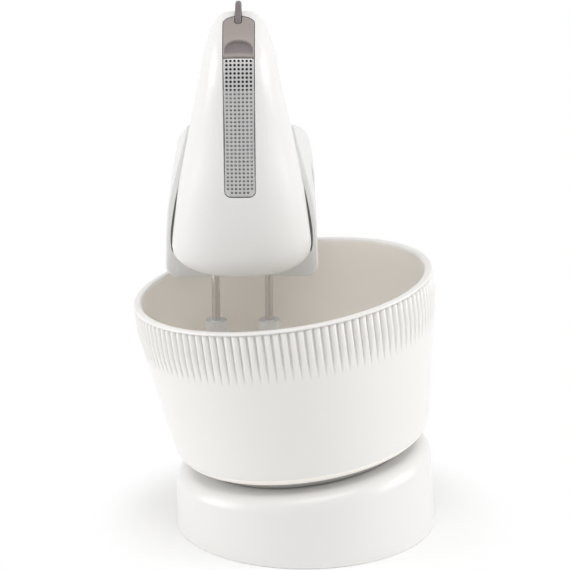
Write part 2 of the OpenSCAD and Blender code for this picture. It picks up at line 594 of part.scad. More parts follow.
function bent_ring(c, rho, fi, w, a_out, a_in, n_out, n_in, k) = [for (p = oval_ring(w, a_out, a_in, n_out, n_in, k))
    [p[0], c[0] - (rho + p[1]) * cos(fi), c[1] + (rho + p[1]) * sin(fi)]];
bend_c = [bend_y, bend_z];
turn = 90 + handle_fall;
run_d = 95;
along = [cos(handle_fall), -sin(handle_fall)];
end_c = bend_c + run_d * along + (14 - 22) * [sin(handle_fall), cos(handle_fall)];
function shell_rings(d) = let (df = d > 0 ? d + 1.7 : 0) concat(
    [for (q = [0, 0.05, 0.16, 0.36, 0.65, 1]) low_ring(chin_z + d + (16 - d) * q, d, df)],
    [for (z = [222, 234, 248, 262, 274, 285, 292, 300, 310, 320]) low_ring(z, d, df)],
    [for (fi = [0, 12, 24, 36, 48, 60, 72, 84, 96, turn]) bent_ring(bend_c, 14, fi, lookup(fi, [[0, 27.5], [60, 25.3], [turn, 25]]) - d,
        bend_r - 14 - lookup(fi, [[40, df], [60, d]]), 7 - d, lookup(fi, [[0, 3], [80, 4]]), 4, lookup(fi, [[0, 0.15], [turn, 0.364]]))],
    [for (f = [0.3, 0.65, 1]) [for (p = bent_ring(bend_c + f * run_d * along, 14, turn, 25 - 4 * f - d, 30 - 6 * f - d, 7 - 2 * f - d, 4, 4, 0.364))
        p]],
    [for (fi = [124, 138, 152, 166, 180]) let (f = (fi - turn) / (180 - turn))
        bent_ring(end_c, 22, fi, 21 - f - d, 24 - 6 * f - d, 5 - d, 4, 4, 0.36 - 0.1 * f)],
    [for (z = [-16, -45]) [for (p = bent_ring(end_c, 22, 180, 20 - d, 18 - d, 5 - d, 4, 4, 0.26)) [p[0], p[1], p[2] + z]]]);
module deck_side(gap) along_x(200) polygon([[deck_y - gap, 100], [deck_y - gap, deck_h + gap], [140, deck_at(140) + gap], [260, deck_at(140) + gap], [260, 100]]);

// ---- Perforated strip, button and fin set in the nose ----
lean = 5;
top_fi = 28;
strip_s = (bend_z - bend_r * sin(lean) - strip_z) / cos(lean);
strip_out = bend_r - 0.35;
first_row = 2.95;
arc_rows = [for (i = [0:60]) let (s = first_row + i * hole_pitch[1], a = (s - strip_s) / strip_out * 180 / PI - lean) if (s > strip_s && a < top_fi - 1.6) a];
module nose_axis() translate([0, bend_y, bend_z]) children();
module strip_straight(g, t0, t1) nose_axis() rotate([lean, 0, 0]) translate([0, -t1, 0]) rotate([90, 0, 0]) mirror([0, 0, 1])
    linear_extrude(t1 - t0) difference() {
        union() {
            translate([-strip_w / 2 - g, -strip_s + 4]) square([strip_w + 2 * g, strip_s - 4]);
            translate([-strip_w / 2 + 4, -strip_s - g]) square([strip_w - 8, 8]);
            for (x = [-1, 1]) translate([x * (strip_w / 2 - 4), 4 - strip_s]) circle(4 + g);
        }
        if (g == 0) for (i = [0:floor((strip_s - first_row - 0.2) / hole_pitch[1])], j = [0:hole_columns - 1])
            if (i > 0 || (j > 0 && j < hole_columns - 1))
                translate([(j - (hole_columns - 1) / 2) * hole_pitch[0], first_row + i * hole_pitch[1] - strip_s]) circle(hole_r, $fn = 12);
    }
module strip_arc(g, r0, r1) nose_axis() rotate([90, 0, -90]) rotate([0, 0, -lean])
    rotate_extrude(angle = top_fi + lean + (g > 0 ? 3 : 0), $fn = 96) translate([r0, -strip_w / 2 - g]) square([r1 - r0, strip_w + 2 * g]);
module perforated_strip() color(steel) mixer_frame() {
    strip_straight(0, strip_out - strip_t, strip_out);
    difference() {
        strip_arc(0, strip_out - strip_t, strip_out);
        for (a = arc_rows, j = [0:hole_columns - 1]) nose_axis() rotate([-a, 0, 0])
            translate([(j - (hole_columns - 1) / 2) * hole_pitch[0], 10 - bend_r, 0]) rotate([90, 0, 0]) cylinder(r = hole_r, h = 20, $fn = 12);
    }
}
mid_fi = 61;
// the button's lower end and the top of its round end, measured along the bend from mid_fi
button_low = -22.6;
button_top = 13.2;
button_arch = 11.6;
module press_frame() nose_axis() rotate([90 - mid_fi, 0, 0]) children();
module button_plan(g) intersection() {
    translate([-button_w / 2 - g, button_low - g]) square([button_w + 2 * g, 60]);
    union() {
        translate([0, button_top - button_arch]) circle(button_arch + g);
        translate([-button_w, button_low - g - 1]) square([2 * button_w, button_top - button_arch - button_low + g + 1]);
    }
}
crown = function(x) bend_r - 0.1 - x * x / 168;
// the fin's front edge stands along the button's travel, so the button can slide past it
fin_front = 3.1;
module eject_button() color(taupe) mixer_frame() press_frame() difference() {
    intersection() {
        translate([0, 0, 32]) linear_extrude(20) button_plan(0);
        rotate([0, 90, 0]) rotate_extrude($fn = 96) polygon(concat([[0, -20], [crown(12), -20]], [for (x = [-12:3:12]) [crown(x), x]], [[crown(12), 20], [0, 20]]));
    }
    // finger scoop towards the nose
    translate([0, -16.4, 47.4]) rotate([0, 90, 0]) cylinder(r = 9, h = button_w - 3, center = true);
    // way for the fin of the speed slider
    translate([-fin_t / 2 - seat, fin_front - seat, 20]) cube([fin_t + 2 * seat, 20, 40]);
}
module eject_yoke() color(grey) mixer_frame() {
    stem_y = -38;
    translate([-4, stem_y, 250]) cube([8, 3, 104]);
    press_frame() translate([-4, -10, 26]) cube([8, 14, 6 - 0.01]);
    translate([-4, stem_y, 248]) cube([8, 40, 3]);
    translate([-whisk_x - 3, -3, 248]) cube([2 * whisk_x + 6, 6, 3]);
    for (x = [-whisk_x, whisk_x]) translate([x, 0, 244.8]) cylinder(r = 2.5, h = 4);
}
module eject_spring() color(steel) mixer_frame() press_frame() translate([0, 0, 9.8]) spring(3, 0.4, 15.9, 6);
module handle_frame() nose_axis() rotate([-handle_fall, 0, 0]) children();
fin_c = [-10.6, 30.4];
module speed_slider() color(taupe) mixer_frame() {
    intersection() {
        handle_frame() translate([0, fin_c[0], fin_c[1]]) intersection() {
            rotate([0, 90, 0]) cylinder(r = fin_r, h = fin_t, center = true);
            translate([-10, -40, -2]) cube([20, 80, 40]);
        }
        press_frame() translate([-10, fin_front, -60]) cube([20, 100, 200]);
    }
    handle_frame() translate([-6, -6, 28.3]) cube([12, 14, 10.2]);
}
module speed_switch() color(dark) mixer_frame() handle_frame() {
    translate([-9, -2, 10.4]) cube([18, 30, 17.6]);
}
module nose_shell() color(white) mixer_frame() difference() {
    union() {
        difference() {
            skin(shell_rings(0));
            skin(shell_rings(shell_wall));
        }
        intersection() {
            skin(shell_rings(shell_wall / 2));
            union() {
                // bosses for the screws that come through the housing's front
                for (p = nose_screws) translate([p[0], deck_y, p[1]]) rotate([90, 0, 0]) cylinder(r = 4, h = 16, $fn = 24);
                for (p = post_screws) translate([p[0], p[1], 240]) cylinder(r = 4, h = 44, $fn = 24);
                translate([-25, post_screws[0][1] - 1, 240]) cube([50, 2, 44]);
            }
        }
    }
    deck_side(seat);
    // the strip's pocket, the button's opening and the fin's slot
    strip_straight(seat, strip_out - strip_t - seat, bend_r + 6);
    strip_arc(seat, strip_out - strip_t - seat, bend_r + 6);
    press_frame() translate([0, 0, 28]) linear_extrude(30) button_plan(0.35);
    handle_frame() translate([-fin_t / 2 - 0.5, fin_c[0] - 13, 36])
        cube([fin_t + 1, 13 + sqrt(pow(fin_r, 2) - pow(bend_r - shell_wall - fin_c[1], 2)) + slider_travel + 5 * seat, 20]);
    for (p = nose_screws) translate([p[0], deck_y + 1, p[1]]) rotate([90, 0, 0]) cylinder(r = 1.6, h = 13, $fn = 20);
    for (p = post_screws) translate([p[0], p[1], 240]) cylinder(r = 1.6, h = 37, $fn = 20);
    for (x = [-whisk_x, whisk_x]) translate([x, 0, 180]) cylinder(r = socket_r, h = 40, $fn = 40);
}

// ---- Gear train ----
lead = 2 * PI * wheel_r / wheel_teeth * worm_starts;
worm_r = whisk_x - wheel_r;
lead_a = atan(lead / (2 * PI * worm_r));
worm_len = 18;
wheel_t = 7;
module thread(a0) {
    n = 60;
    half = worm_len / 2 - 1;
    skin([for (i = [0:n]) let (y = -half + 2 * half * i / n, a = a0 + 360 * y / lead)
        [for (p = [[3.5, -0.6], [3.5, 0.6], [5.4, 0.3], [5.4, -0.3]]) [p[0] * cos(a), y + p[1], -p[0] * sin(a)]]]);
}
module worm() {
    rotate([90, 0, 0]) translate([0, 0, -worm_len / 2]) difference() {
        cylinder(r = 3.8, h = worm_len, $fn = 24);
        translate([0, 0, -1]) cylinder(r = shaft_r + run, h = worm_len + 2, $fn = 24);
    }
    for (a = [0:360 / worm_starts:359]) thread(a);
}
module worms() color(steel) {
    translate([mixer_x, 0, motor_z]) worm();
    translate([mixer_x, pin_v, motor_z]) rotate([0, -bowl_tilt, 0]) worm();
}
module wheel_disc() difference() {
    translate([0, 0, -wheel_t / 2]) cylinder(r = wheel_r + 0.8, h = wheel_t);
    for (i = [0:wheel_teeth - 1]) rotate([0, 0, i * 360 / wheel_teeth]) translate([wheel_r + 0.5, 0, 0]) rotate([-lead_a, 0, 0])
        cube([5, 1.7, wheel_t * 2], center = true);
}
hub_bearing = [210, 214, 236.5, 240.5];
module whisk_wheel() difference() {
    union() {
        translate([0, 0, motor_z]) wheel_disc();
        translate([0, 0, 207]) cylinder(r = 5, h = 34.3);
        translate([0, 0, hub_bearing[1] + seat]) cylinder(r = 6.5, h = hub_bearing[2] - hub_bearing[1] - 2 * seat);
    }
    translate([0, 0, 200]) cylinder(r = whisk_shaft_r + run, h = 50);
}
module whisk_wheel_left() color(beige) translate([mixer_x - whisk_x, 0, 0]) whisk_wheel();
module whisk_wheel_right() color(beige) translate([mixer_x + whisk_x, 0, 0]) whisk_wheel();
wire_r = 1;
wire_end = 130;
function wire_path(low) = [for (f = [0:9:360]) let (q = f > 180 ? 360 - f : f, m = f > 180 ? -1 : 1)
    [m * (4.3 * pow(cos(q / 2), 2) + (whisk_r - 1.5) / 1.06 * sin(q) * (1 - 0.35 * cos(q))), wire_end - (wire_end - low) * (1 - cos(q)) / 2]];
module wire(low) let (path = wire_path(low), n = len(path))
    skin([for (i = [0:n - 1]) let (d = path[min(i + 1, n - 1)] - path[max(i - 1, 0)], t = d / norm(d))
        [for (k = [0:7]) [path[i][0] + wire_r * cos(45 * k) * t[1], wire_r * sin(45 * k), path[i][1] - wire_r * cos(45 * k) * t[0]]]]);
module whisk(turned) {
    difference() {
        translate([0, 0, 126]) cylinder(r = 6.2, h = 138 - 126 - seat, $fn = 48);
        translate([0, 0, 128]) cylinder(r = whisk_shaft_r + run, h = 20, $fn = 48);
    }
    for (i = [0:2]) rotate([0, 0, turned + 60 * i]) wire(whisk_z + 1 + 2.3 * i);
}
module whisk_shaft() translate([0, 0, 128.2]) cylinder(r = whisk_shaft_r, h = 241.6 - 128.2);
module whisk_left() color(steel) translate([mixer_x - whisk_x, 0, 0]) whisk(0);
module whisk_right() color(steel) translate([mixer_x + whisk_x, 0, 0]) whisk(30);
module whisk_shaft_left() color(steel) translate([mixer_x - whisk_x, 0, 0]) whisk_shaft();
module whisk_shaft_right() color(steel) translate([mixer_x + whisk_x, 0, 0]) whisk_shaft();
module collar() translate([0, 0, collar_z - 13.5]) tube(7.5, whisk_shaft_r + run, 13.5);
module whisk_collar_left() color(pale) translate([mixer_x - whisk_x, 0, 0]) collar();
module whisk_collar_right() color(pale) translate([mixer_x + whisk_x, 0, 0]) collar();
out_shaft_r = 3;
dog_top_w = dog_w + 4 + dog_tooth + seat;
module output_wheel() color(beige) pinion_frame() rotate([0, 0, 0]) {
    translate([0, 0, wheel_w]) difference() {
        union() {
            wheel_disc();
            translate([0, 0, -7]) cylinder(r = 6, h = 14);
        }
        translate([0, 0, -20]) cylinder(r = out_shaft_r + run, h = 40);
    }
}
module output_shaft() color(steel) pinion_frame() translate([0, 0, dog_top_w]) cylinder(r = out_shaft_r, h = wheel_w + 12 - dog_top_w);
module upper_dog() color(beige) pinion_frame() translate([0, 0, dog_top_w]) {
    tube(dog_r, out_shaft_r + run, 4);
    translate([0, 0, 4 - eps]) tube(5.5, out_shaft_r + run, 8);
    rotate([0, 0, 60]) translate([0, 0, eps - dog_tooth]) dog_teeth();
}

// ---- Motor ----
module y_bar(r, y0, y1) translate([0, y0, motor_z]) rotate([-90, 0, 0]) cylinder(r = r, h = y1 - y0);
module y_tube(ro, ri, y0, y1) translate([0, y0, motor_z]) rotate([-90, 0, 0]) tube(ro, ri, y1 - y0);
rear_y = 126;
module motor_shaft() color(steel) mixer_frame() y_bar(shaft_r, -20, rear_y);
module motor_rotor() color(grey) mixer_frame() translate([0, 36, motor_z]) rotate([-90, 0, 0]) linear_extrude(28) difference() {
    circle(15);
    circle(shaft_r + run);
    for (i = [0:11]) rotate(i * 30) translate([14, 0]) square([5, 1.6], center = true);
}
module commutator() color(copper) mixer_frame() translate([0, 70, motor_z]) rotate([-90, 0, 0]) linear_extrude(8) difference() {
    circle(7);
    circle(shaft_r + run);
    for (i = [0:11]) rotate(i * 30 + 15) translate([7, 0]) square([2, 0.6], center = true);
}
module coil_box(g, cut) for (x = [-1, 1]) translate([x * 20.5, 50, motor_z]) difference() {
    cube([7 + 2 * g, 40 + 2 * g, 24 + 2 * g], center = true);
    if (!cut) cube([20, 28, 12], center = true);
}
module motor_stator() color(grey) mixer_frame() difference() {
    translate([0, 36, motor_z]) rotate([-90, 0, 0]) linear_extrude(28) difference() {
        rounded_rect(54, 38, 5);
        circle(15.5);
    }
    difference() {
        coil_box(0.3, true);
        for (x = [-1, 1]) translate([x * 20.5, 50, motor_z]) cube([20, 27.4, 11.4], center = true);
    }
}
module motor_coils() color(copper) mixer_frame() coil_box(0, false);
module motor_fan() color(dark) mixer_frame() translate([0, 80.5, motor_z]) rotate([-90, 0, 0]) {
    tube(6, shaft_r + run, 6.8);
    for (i = [0:8]) rotate([0, 0, i * 40]) translate([5, -0.8, 0.4]) cube([12.1, 1.6, 5.6]);
    tube(17.5, 5.5, 1.2);
}
bearing_places = [[-20, -16], [24, 28], [90, 94], [121, 125]];
module motor_bearings() color(steel) mixer_frame() for (b = bearing_places) y_tube(6, shaft_r + run, b[0], b[1]);
module brush_holders() color(dark) mixer_frame() for (x = [-1, 1]) translate([x * 15, 74, motor_z]) difference() {
    cube([15, 6, 6], center = true);
}
gear_half = 36.6;
module gearbox_frame() color(grey) mixer_frame() difference() {
    union() {
        for (z = [hub_bearing[0], hub_bearing[2]]) translate([-gear_half, -20, z]) cube([2 * gear_half, 42, 4]);
        for (x = [-gear_half, gear_half - 2.3]) translate([x, -20, hub_bearing[0]]) cube([2.3, 42, hub_bearing[3] - hub_bearing[0]]);
        translate([-10, -20, hub_bearing[0]]) cube([20, 4, hub_bearing[3] - hub_bearing[0]]);
        for (p = belly_screws) if (p[1] < 50) translate([p[0], p[1], floor_in(p[1]) + seat]) cylinder(r = 4, h = hub_bearing[0] - floor_in(p[1]));
    }
    for (x = [-whisk_x, whisk_x]) translate([x, 0, 200]) cylinder(r = 5 + run, h = 60);
    translate([0, -30, motor_z]) rotate([-90, 0, 0]) cylinder(r = 6 + run, h = 14.01);
    for (p = belly_screws) translate([p[0], p[1], 180]) cylinder(r = 1.55, h = 26);
}
module motor_frame() color(dark) {
    mixer_frame() difference() {
        union() {
            for (y = [24, 90]) translate([-33, y, 212]) cube([66, 4, 32]);
            translate([-8, 121, 211.4]) cube([20, 4, 26.6]);
            translate([-8, 116, 211.4]) cube([20, 8, 2]);
            for (x = [-33, 29.5]) translate([x, 24, 212]) cube([3.5, 70, 8]);
            for (p = belly_screws) if (p[1] > 50) translate([p[0], p[1], floor_in(p[1]) + seat]) cylinder(r = 4, h = 10);
            translate([-33, 94 - eps, 209]) cube([66, 24, 3.2]);
        }
        for (b = bearing_places) translate([0, b[0] - eps, motor_z]) rotate([-90, 0, 0]) cylinder(r = 6 + run, h = 4 + 2 * eps);
        for (p = belly_screws) translate([p[0], p[1], 180]) cylinder(r = 1.55, h = 38);
        translate([catch_x - catch_w / 2 - 1, hinge_y - 46, 200]) cube([catch_w + 2, 22, 30]);
        translate([-mixer_x, 0, 0]) pinion_frame() translate([0, 0, dog_w]) cylinder(r = 6.2, h = 60);
    }
    // tilted plates that carry the output shaft
    mixer_frame() difference() {
        translate([-mixer_x, 0, 0]) pinion_frame() for (w = [wheel_w - 11.5, wheel_w + 7.5]) translate([-16.01, -12, w]) cube([20, 24, 3.5]);
        translate([-mixer_x, 0, 0]) pinion_frame() translate([0, 0, dog_w]) cylinder(r = out_shaft_r + run, h = 90);
    }
    mixer_frame() translate([-mixer_x, 0, 0]) pinion_frame() translate([-20, -10, wheel_w - 13]) cube([4, 20, 24]);
}

base_housing();
base_plate();
base_screws();
rubber_feet();
spindle_bush();
turntable();
turntable_spindle();
spindle_clip();
bowl();
bowl_gear_rim();
column();
column_cover();
column_screws();
pinion();
pinion_shaft();
pinion_bushes();
lower_dog();
arm();
hinge_pin();
tilt_button();
tilt_spring();
mixer_catch();
catch_spring();
nose_shell();
motor_housing();
perforated_strip();
eject_button();
eject_yoke();
eject_spring();
speed_slider();
speed_switch();
gearbox_frame();
motor_frame();
motor_stator();
motor_coils();
motor_rotor();
commutator();
motor_shaft();
worms();
motor_fan();
motor_bearings();
brush_holders();
whisk_wheel_left();
whisk_wheel_right();
whisk_left();
whisk_right();
whisk_shaft_left();
whisk_shaft_right();
whisk_collar_left();
whisk_collar_right();
output_wheel();
output_shaft();
upper_dog();
cord_inlet();
housing_screws();
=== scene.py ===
# %% [markdown]
# This lesson dresses a stand mixer: a hand mixer on a tilting arm over a leaning bowl.
# The exact bodies come in as a fixed frame, so every piece made here is placed by measure.
# Lengths are millimetres in the formulas and are turned into metres when a mesh is made.

# %% Load the frame
import bpy
import bmesh
import json
from math import sin, cos, tan, pi, radians, sqrt, atan2, asin, hypot
from mathutils import Matrix, Vector


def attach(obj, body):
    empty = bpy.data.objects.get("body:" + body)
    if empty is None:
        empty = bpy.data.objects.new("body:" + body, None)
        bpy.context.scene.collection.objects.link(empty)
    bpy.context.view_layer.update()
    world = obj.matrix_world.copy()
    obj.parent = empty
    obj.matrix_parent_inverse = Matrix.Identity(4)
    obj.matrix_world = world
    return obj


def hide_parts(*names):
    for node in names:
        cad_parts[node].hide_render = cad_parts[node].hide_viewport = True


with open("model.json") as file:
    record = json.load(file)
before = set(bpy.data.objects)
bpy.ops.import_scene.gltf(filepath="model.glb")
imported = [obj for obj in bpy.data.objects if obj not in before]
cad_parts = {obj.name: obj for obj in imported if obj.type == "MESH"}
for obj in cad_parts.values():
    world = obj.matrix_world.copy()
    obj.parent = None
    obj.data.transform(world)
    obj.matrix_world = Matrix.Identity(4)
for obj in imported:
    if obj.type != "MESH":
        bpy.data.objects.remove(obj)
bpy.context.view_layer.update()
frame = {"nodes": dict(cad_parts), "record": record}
nodes = frame["nodes"]
print("CAD nodes:", len(nodes))

# %% [markdown]
# The camera comes first. It looks down on the nose from a little above, from far away,
# so the bowl's rim opens into a flat ellipse. Its axes are written as the columns of a
# matrix, because that lets the picture lean by a third of a degree without Euler angles.

# %% Camera
look = radians(17.5)
lean = radians(-0.351)
ahead = Vector((0, cos(look), -sin(look)))
up = Vector((0, sin(look), cos(look)))
right = Vector((1, 0, 0)) * cos(lean) + up * sin(lean)
above = -Vector((1, 0, 0)) * sin(lean) + up * cos(lean)
aim, distance = Vector((-0.01397, 0, 0.17676)), 1.8863
eye = aim - ahead * distance
lens = bpy.data.cameras.new("camera")
lens.sensor_width = 36
lens.lens = 169.4
lens.clip_start, lens.clip_end = 0.05, 30
camera = bpy.data.objects.new("camera", lens)
bpy.context.scene.collection.objects.link(camera)
turn = Matrix((right, above, -ahead)).transposed().to_4x4()
camera.matrix_world = Matrix.Translation(eye) @ turn
bpy.context.scene.camera = camera

# %% [markdown]
# A finish is a small tree of shader nodes. Writing it as arithmetic keeps it readable:
# a Flow wraps one output, and + - * / after it adds the Math node for that sum.

# %% Shader arithmetic
class Flow:
    def __init__(self, paint, out):
        self.paint, self.out = paint, out

    def _sum(self, kind, a, b):
        return self.paint.node("ShaderNodeMath", {"operation": kind}, **{"0": a, "1": b})

    def __add__(self, b): return self._sum("ADD", self, b)
    def __sub__(self, b): return self._sum("SUBTRACT", self, b)
    def __mul__(self, b): return self._sum("MULTIPLY", self, b)
    def __truediv__(self, b): return self._sum("DIVIDE", self, b)


class Paint:
    def __init__(self, name):
        self.material = bpy.data.materials.new(name)
        self.material.use_nodes = True
        self.tree = self.material.node_tree
        self.shader = self.tree.nodes["Principled BSDF"]

    def node(self, kind, settings={}, out=0, **values):
        n = self.tree.nodes.new(kind)
        for key, value in settings.items():
            setattr(n, key, value)
        for key, value in values.items():
            self.feed(n, key, value)
        return Flow(self, n.outputs[out])

    def feed(self, n, key, value):
        socket = n.inputs[int(key)] if key.isdigit() else n.inputs[key.replace("_", " ")]
        if isinstance(value, Flow):
            self.tree.links.new(value.out, socket)
        else:
            socket.default_value = value

    def place(self, scale=(1, 1, 1)):
        here = self.node("ShaderNodeTexCoord", out=3)
        return self.node("ShaderNodeMapping", Vector=here, Scale=scale)

    def noise(self, size, detail=3.0, rough=0.5, where=None):
        where = where or self.place()
        return self.node("ShaderNodeTexNoise", Vector=where, Scale=1.0 / size, Detail=detail,
                         Roughness=rough)

    def mix(self, share, a, b):
        return self.node("ShaderNodeMix", {"data_type": "RGBA"}, out=2,
                         **{"0": share, "6": a, "7": b})

    def smooth(self, value, low, high):
        """0 up to low, 1 from high on, with a soft step between."""
        return self.node("ShaderNodeMapRange", {"interpolation_type": "SMOOTHSTEP"}, Value=value,
                         **{"From Min": low, "From Max": high})

    def relief(self, height, depth, strength=1.0, under=None):
        extra = {"Normal": under} if under else {}
        return self.node("ShaderNodeBump", Height=height, Distance=depth, Strength=strength,
                         **extra)

    def finish(self, **values):
        for key, value in values.items():
            self.feed(self.shader, key, value)
        return self.material


def rgb(r, g, b):
    """A screen colour of 0..255 as the linear colour that a shader wants."""
    def line(c):
        return c / 255 / 12.92 if c / 255 <= 0.04045 else ((c / 255 + 0.055) / 1.055) ** 2.4

    return (line(r), line(g), line(b), 1)


# %% [markdown]
# The white body is glossy moulded plastic. The real one has a very fine orange-peel ripple
# and small changes of gloss where hands touch it, so roughness and bump come from noise
# of a few millimetres, and the colour drifts by one or two percent.

# %% Plastics
def moulded(name, colour, gloss=0.3, spread=0.06, ripple=0.00002, grain=0.0, drift=0.03,
            coat=0.0):
    p = Paint(name)
    cloud = p.noise(0.03, 2)
    fine = p.noise(0.004, 2)
    shade = p.mix(cloud * drift * 4, colour, tuple(c * (1 - 2 * drift) for c in colour[:3]) + (1,))
    bump = p.relief(fine, ripple)
    if grain:
        bump = p.relief(p.noise(0.0006, 2), grain, 1.0, bump)
    return p.finish(Base_Color=shade, Roughness=fine * spread + (gloss - spread / 2), Normal=bump,
                    Coat_Weight=coat, Coat_Roughness=0.2)


white = moulded("white_gloss", rgb(234, 233, 231), 0.30, coat=0.4)
bowl_white = moulded("bowl_white", rgb(237, 235, 232), 0.3, spread=0.0, ripple=0.00001,
                     drift=0.01, coat=0.2)
# Painted light: a lighter, warmer white for the bowl's inside, standing in for light that bounces
# into it.
bowl_inside_painted_bounce = moulded("bowl_inside_painted_bounce", rgb(254, 249, 242), 0.4, spread=0.0, drift=0.0)
pale = moulded("pale_satin", rgb(226, 226, 225), 0.38, coat=0.1)
taupe = moulded("taupe_satin", rgb(160, 151, 145), 0.42, grain=0.00001)
slate = moulded("slate_satin", rgb(112, 103, 104), 0.45, grain=0.00001)
table_grey = moulded("turntable_grey", rgb(186, 184, 180), 0.45, grain=0.00001)
black = moulded("black_frame", rgb(38, 38, 40), 0.5, grain=0.00002)
gear_cream = moulded("gear_cream", rgb(214, 205, 186), 0.4)
rubber = moulded("foot_rubber", rgb(30, 30, 31), 0.75, grain=0.00003)


# %% [markdown]
# Metals differ by how they were worked. Ground rods carry fine rings across their length,
# the strip is brushed along its length, copper wire shows its turns, and laminations show
# as thin dark lines, so each finish stretches or bands its noise in the working direction.

# %% Metals
def brushed(name, colour, scale, gloss=0.3, spread=0.15, depth=0.000008):
    p = Paint(name)
    lines = p.noise(0.001, 3, 0.6, p.place(scale))
    shade = p.mix(lines * 0.5, colour, tuple(c * 0.78 for c in colour[:3]) + (1,))
    return p.finish(Base_Color=shade, Roughness=lines * spread + (gloss - spread / 2),
                    Metallic=1.0, Normal=p.relief(lines, depth))


def banded(name, light, dark, pitch, along, gloss=0.4, metal=0.9):
    p = Paint(name)
    bands = p.node("ShaderNodeTexWave", {"bands_direction": along, "wave_profile": "SIN"}, out=1,
                   Vector=p.place(), Scale=0.314 / pitch, Distortion=0.2)
    return p.finish(Base_Color=p.mix(bands * 0.5, light, dark), Roughness=bands * 0.2 + gloss,
                    Metallic=metal, Normal=p.relief(bands, 0.0001))


rod_steel = brushed("rod_steel", rgb(205, 204, 202), (1, 1, 0.05), 0.2, 0.1)
wire_steel = brushed("wire_steel", rgb(212, 211, 209), (0.3, 0.3, 0.3), 0.16, 0.06)
plain_steel = brushed("plain_steel", rgb(176, 176, 174), (1, 1, 1), 0.35, 0.15)
bronze = brushed("bush_bronze", rgb(184, 154, 104), (1, 1, 1), 0.42, 0.15)
iron = banded("core_iron", rgb(112, 112, 116), rgb(66, 66, 70), 0.0005, "Y")
copper = banded("winding_copper", rgb(196, 112, 62), rgb(120, 62, 34), 0.0006, "Y", 0.3, 1.0)

finishes = {"white_plastic": white, "pale_plastic": pale, "taupe_plastic": taupe,
            "turntable_plastic": table_grey, "gear_plastic": gear_cream, "frame_plastic": black,
            "foot_rubber": rubber, "strip_metal": plain_steel, "steel": plain_steel,
            "whisk_steel": wire_steel, "bush_bronze": bronze, "core_iron": iron,
            "winding_copper": copper}
slot_of = {s["node"]: s["material_slot"] for s in frame["record"]["subparts"]}
for name, node in nodes.items():
    node.data.materials.clear()
    node.data.materials.append(finishes[slot_of[name]])


# %% [markdown]
# Four helpers carry the whole modelling: ready() turns a bmesh into a piece that rides on
# its body, spun() turns a profile round an axis, loft() pulls a ring of points through
# stations, which is how a moulded nose is drawn, and carve() cuts one solid out of another.

# %% Modelling helpers
MM = 0.001
mixer_x = -43.9


def ready(bm, name, body, node, finish, sharp=35, place=None):
    """A finished bmesh, in millimetres, becomes a piece that stands for node and rides on body."""
    if place:
        bmesh.ops.transform(bm, matrix=place, verts=bm.verts)
    bmesh.ops.remove_doubles(bm, verts=bm.verts, dist=0.001)
    bmesh.ops.recalc_face_normals(bm, faces=bm.faces)
    bmesh.ops.scale(bm, vec=(MM, MM, MM), verts=bm.verts)
    mesh = bpy.data.meshes.new(name)
    bm.to_mesh(mesh)
    bm.free()
    mesh.polygons.foreach_set("use_smooth", [True] * len(mesh.polygons))
    mesh.set_sharp_from_angle(angle=radians(sharp))
    piece = bpy.data.objects.new(name, mesh)
    bpy.context.scene.collection.objects.link(piece)
    mesh.materials.append(finish)
    if body:
        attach(piece, body)
        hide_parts(node)
    print(name, len(mesh.polygons), "faces")
    return piece


def new_verts(made):
    """The vertices in what an extrude operator gives back."""
    return [g for g in made["geom"] if isinstance(g, bmesh.types.BMVert)]


def arc(cx, cy, r, a0, a1, n=10):
    """Points round a centre, from a0 to a1 degrees."""
    turns = [radians(a0 + (a1 - a0) * i / n) for i in range(n + 1)]
    return [(cx + r * cos(a), cy + r * sin(a)) for a in turns]


def spun(profile, steps=160):
    """Spins a profile of (radius, height) round Z."""
    bm = bmesh.new()
    verts = [bm.verts.new((r, 0, z)) for r, z in profile]
    edges = [bm.edges.new(pair) for pair in zip(verts, verts[1:])]
    bmesh.ops.spin(bm, geom=verts + edges, axis=(0, 0, 1), cent=(0, 0, 0), angle=2 * pi,
                   steps=steps, use_merge=True)
    bmesh.ops.remove_doubles(bm, verts=bm.verts, dist=0.0005)
    return bm


def loft(rings):
    """Pulls a circle through rings of points by extruding its edge once per ring."""
    n = len(rings[0])
    bm = bmesh.new()
    bmesh.ops.create_circle(bm, segments=n, radius=1)
    loop = sorted(bm.verts, key=lambda v: atan2(v.co.y, v.co.x))
    for v, p in zip(loop, rings[0]):
        v.co = p
    bmesh.ops.edgeloop_fill(bm, edges=bm.edges[:])
    edges = bm.edges[:]
    for ring in rings[1:]:
        made = bmesh.ops.extrude_edge_only(bm, edges=edges)
        edges = [g for g in made["geom"]
                 if isinstance(g, bmesh.types.BMEdge) and len(g.link_faces) == 1]
        follow = {}
        for v in new_verts(made):
            for e in v.link_edges:
                o = e.other_vert(v)
                if o in loop:
                    follow[o] = v
        loop = [follow[o] for o in loop]
        for v, p in zip(loop, ring):
            v.co = p
    bmesh.ops.edgeloop_fill(bm, edges=edges)
    return bm


def round_edges(bm, edges, radius, segments):
    bmesh.ops.bevel(bm, geom=edges, offset=radius, affect="EDGES", segments=segments, profile=0.5,
                    material=-1)


def block(w, d, h, centre=(0, 0, 0), soft=0.0, place=None):
    """A box with softened edges, in millimetres."""
    bm = bmesh.new()
    bmesh.ops.create_cube(bm, size=1)
    bmesh.ops.scale(bm, vec=(w, d, h), verts=bm.verts)
    if soft:
        round_edges(bm, bm.edges[:] + bm.verts[:], soft, 3)
    bmesh.ops.translate(bm, vec=centre, verts=bm.verts)
    if place:
        bmesh.ops.transform(bm, matrix=place, verts=bm.verts)
    return bm


def upright_edges(bm):
    return [e for e in bm.edges if abs(e.verts[0].co.z - e.verts[1].co.z) > 1]


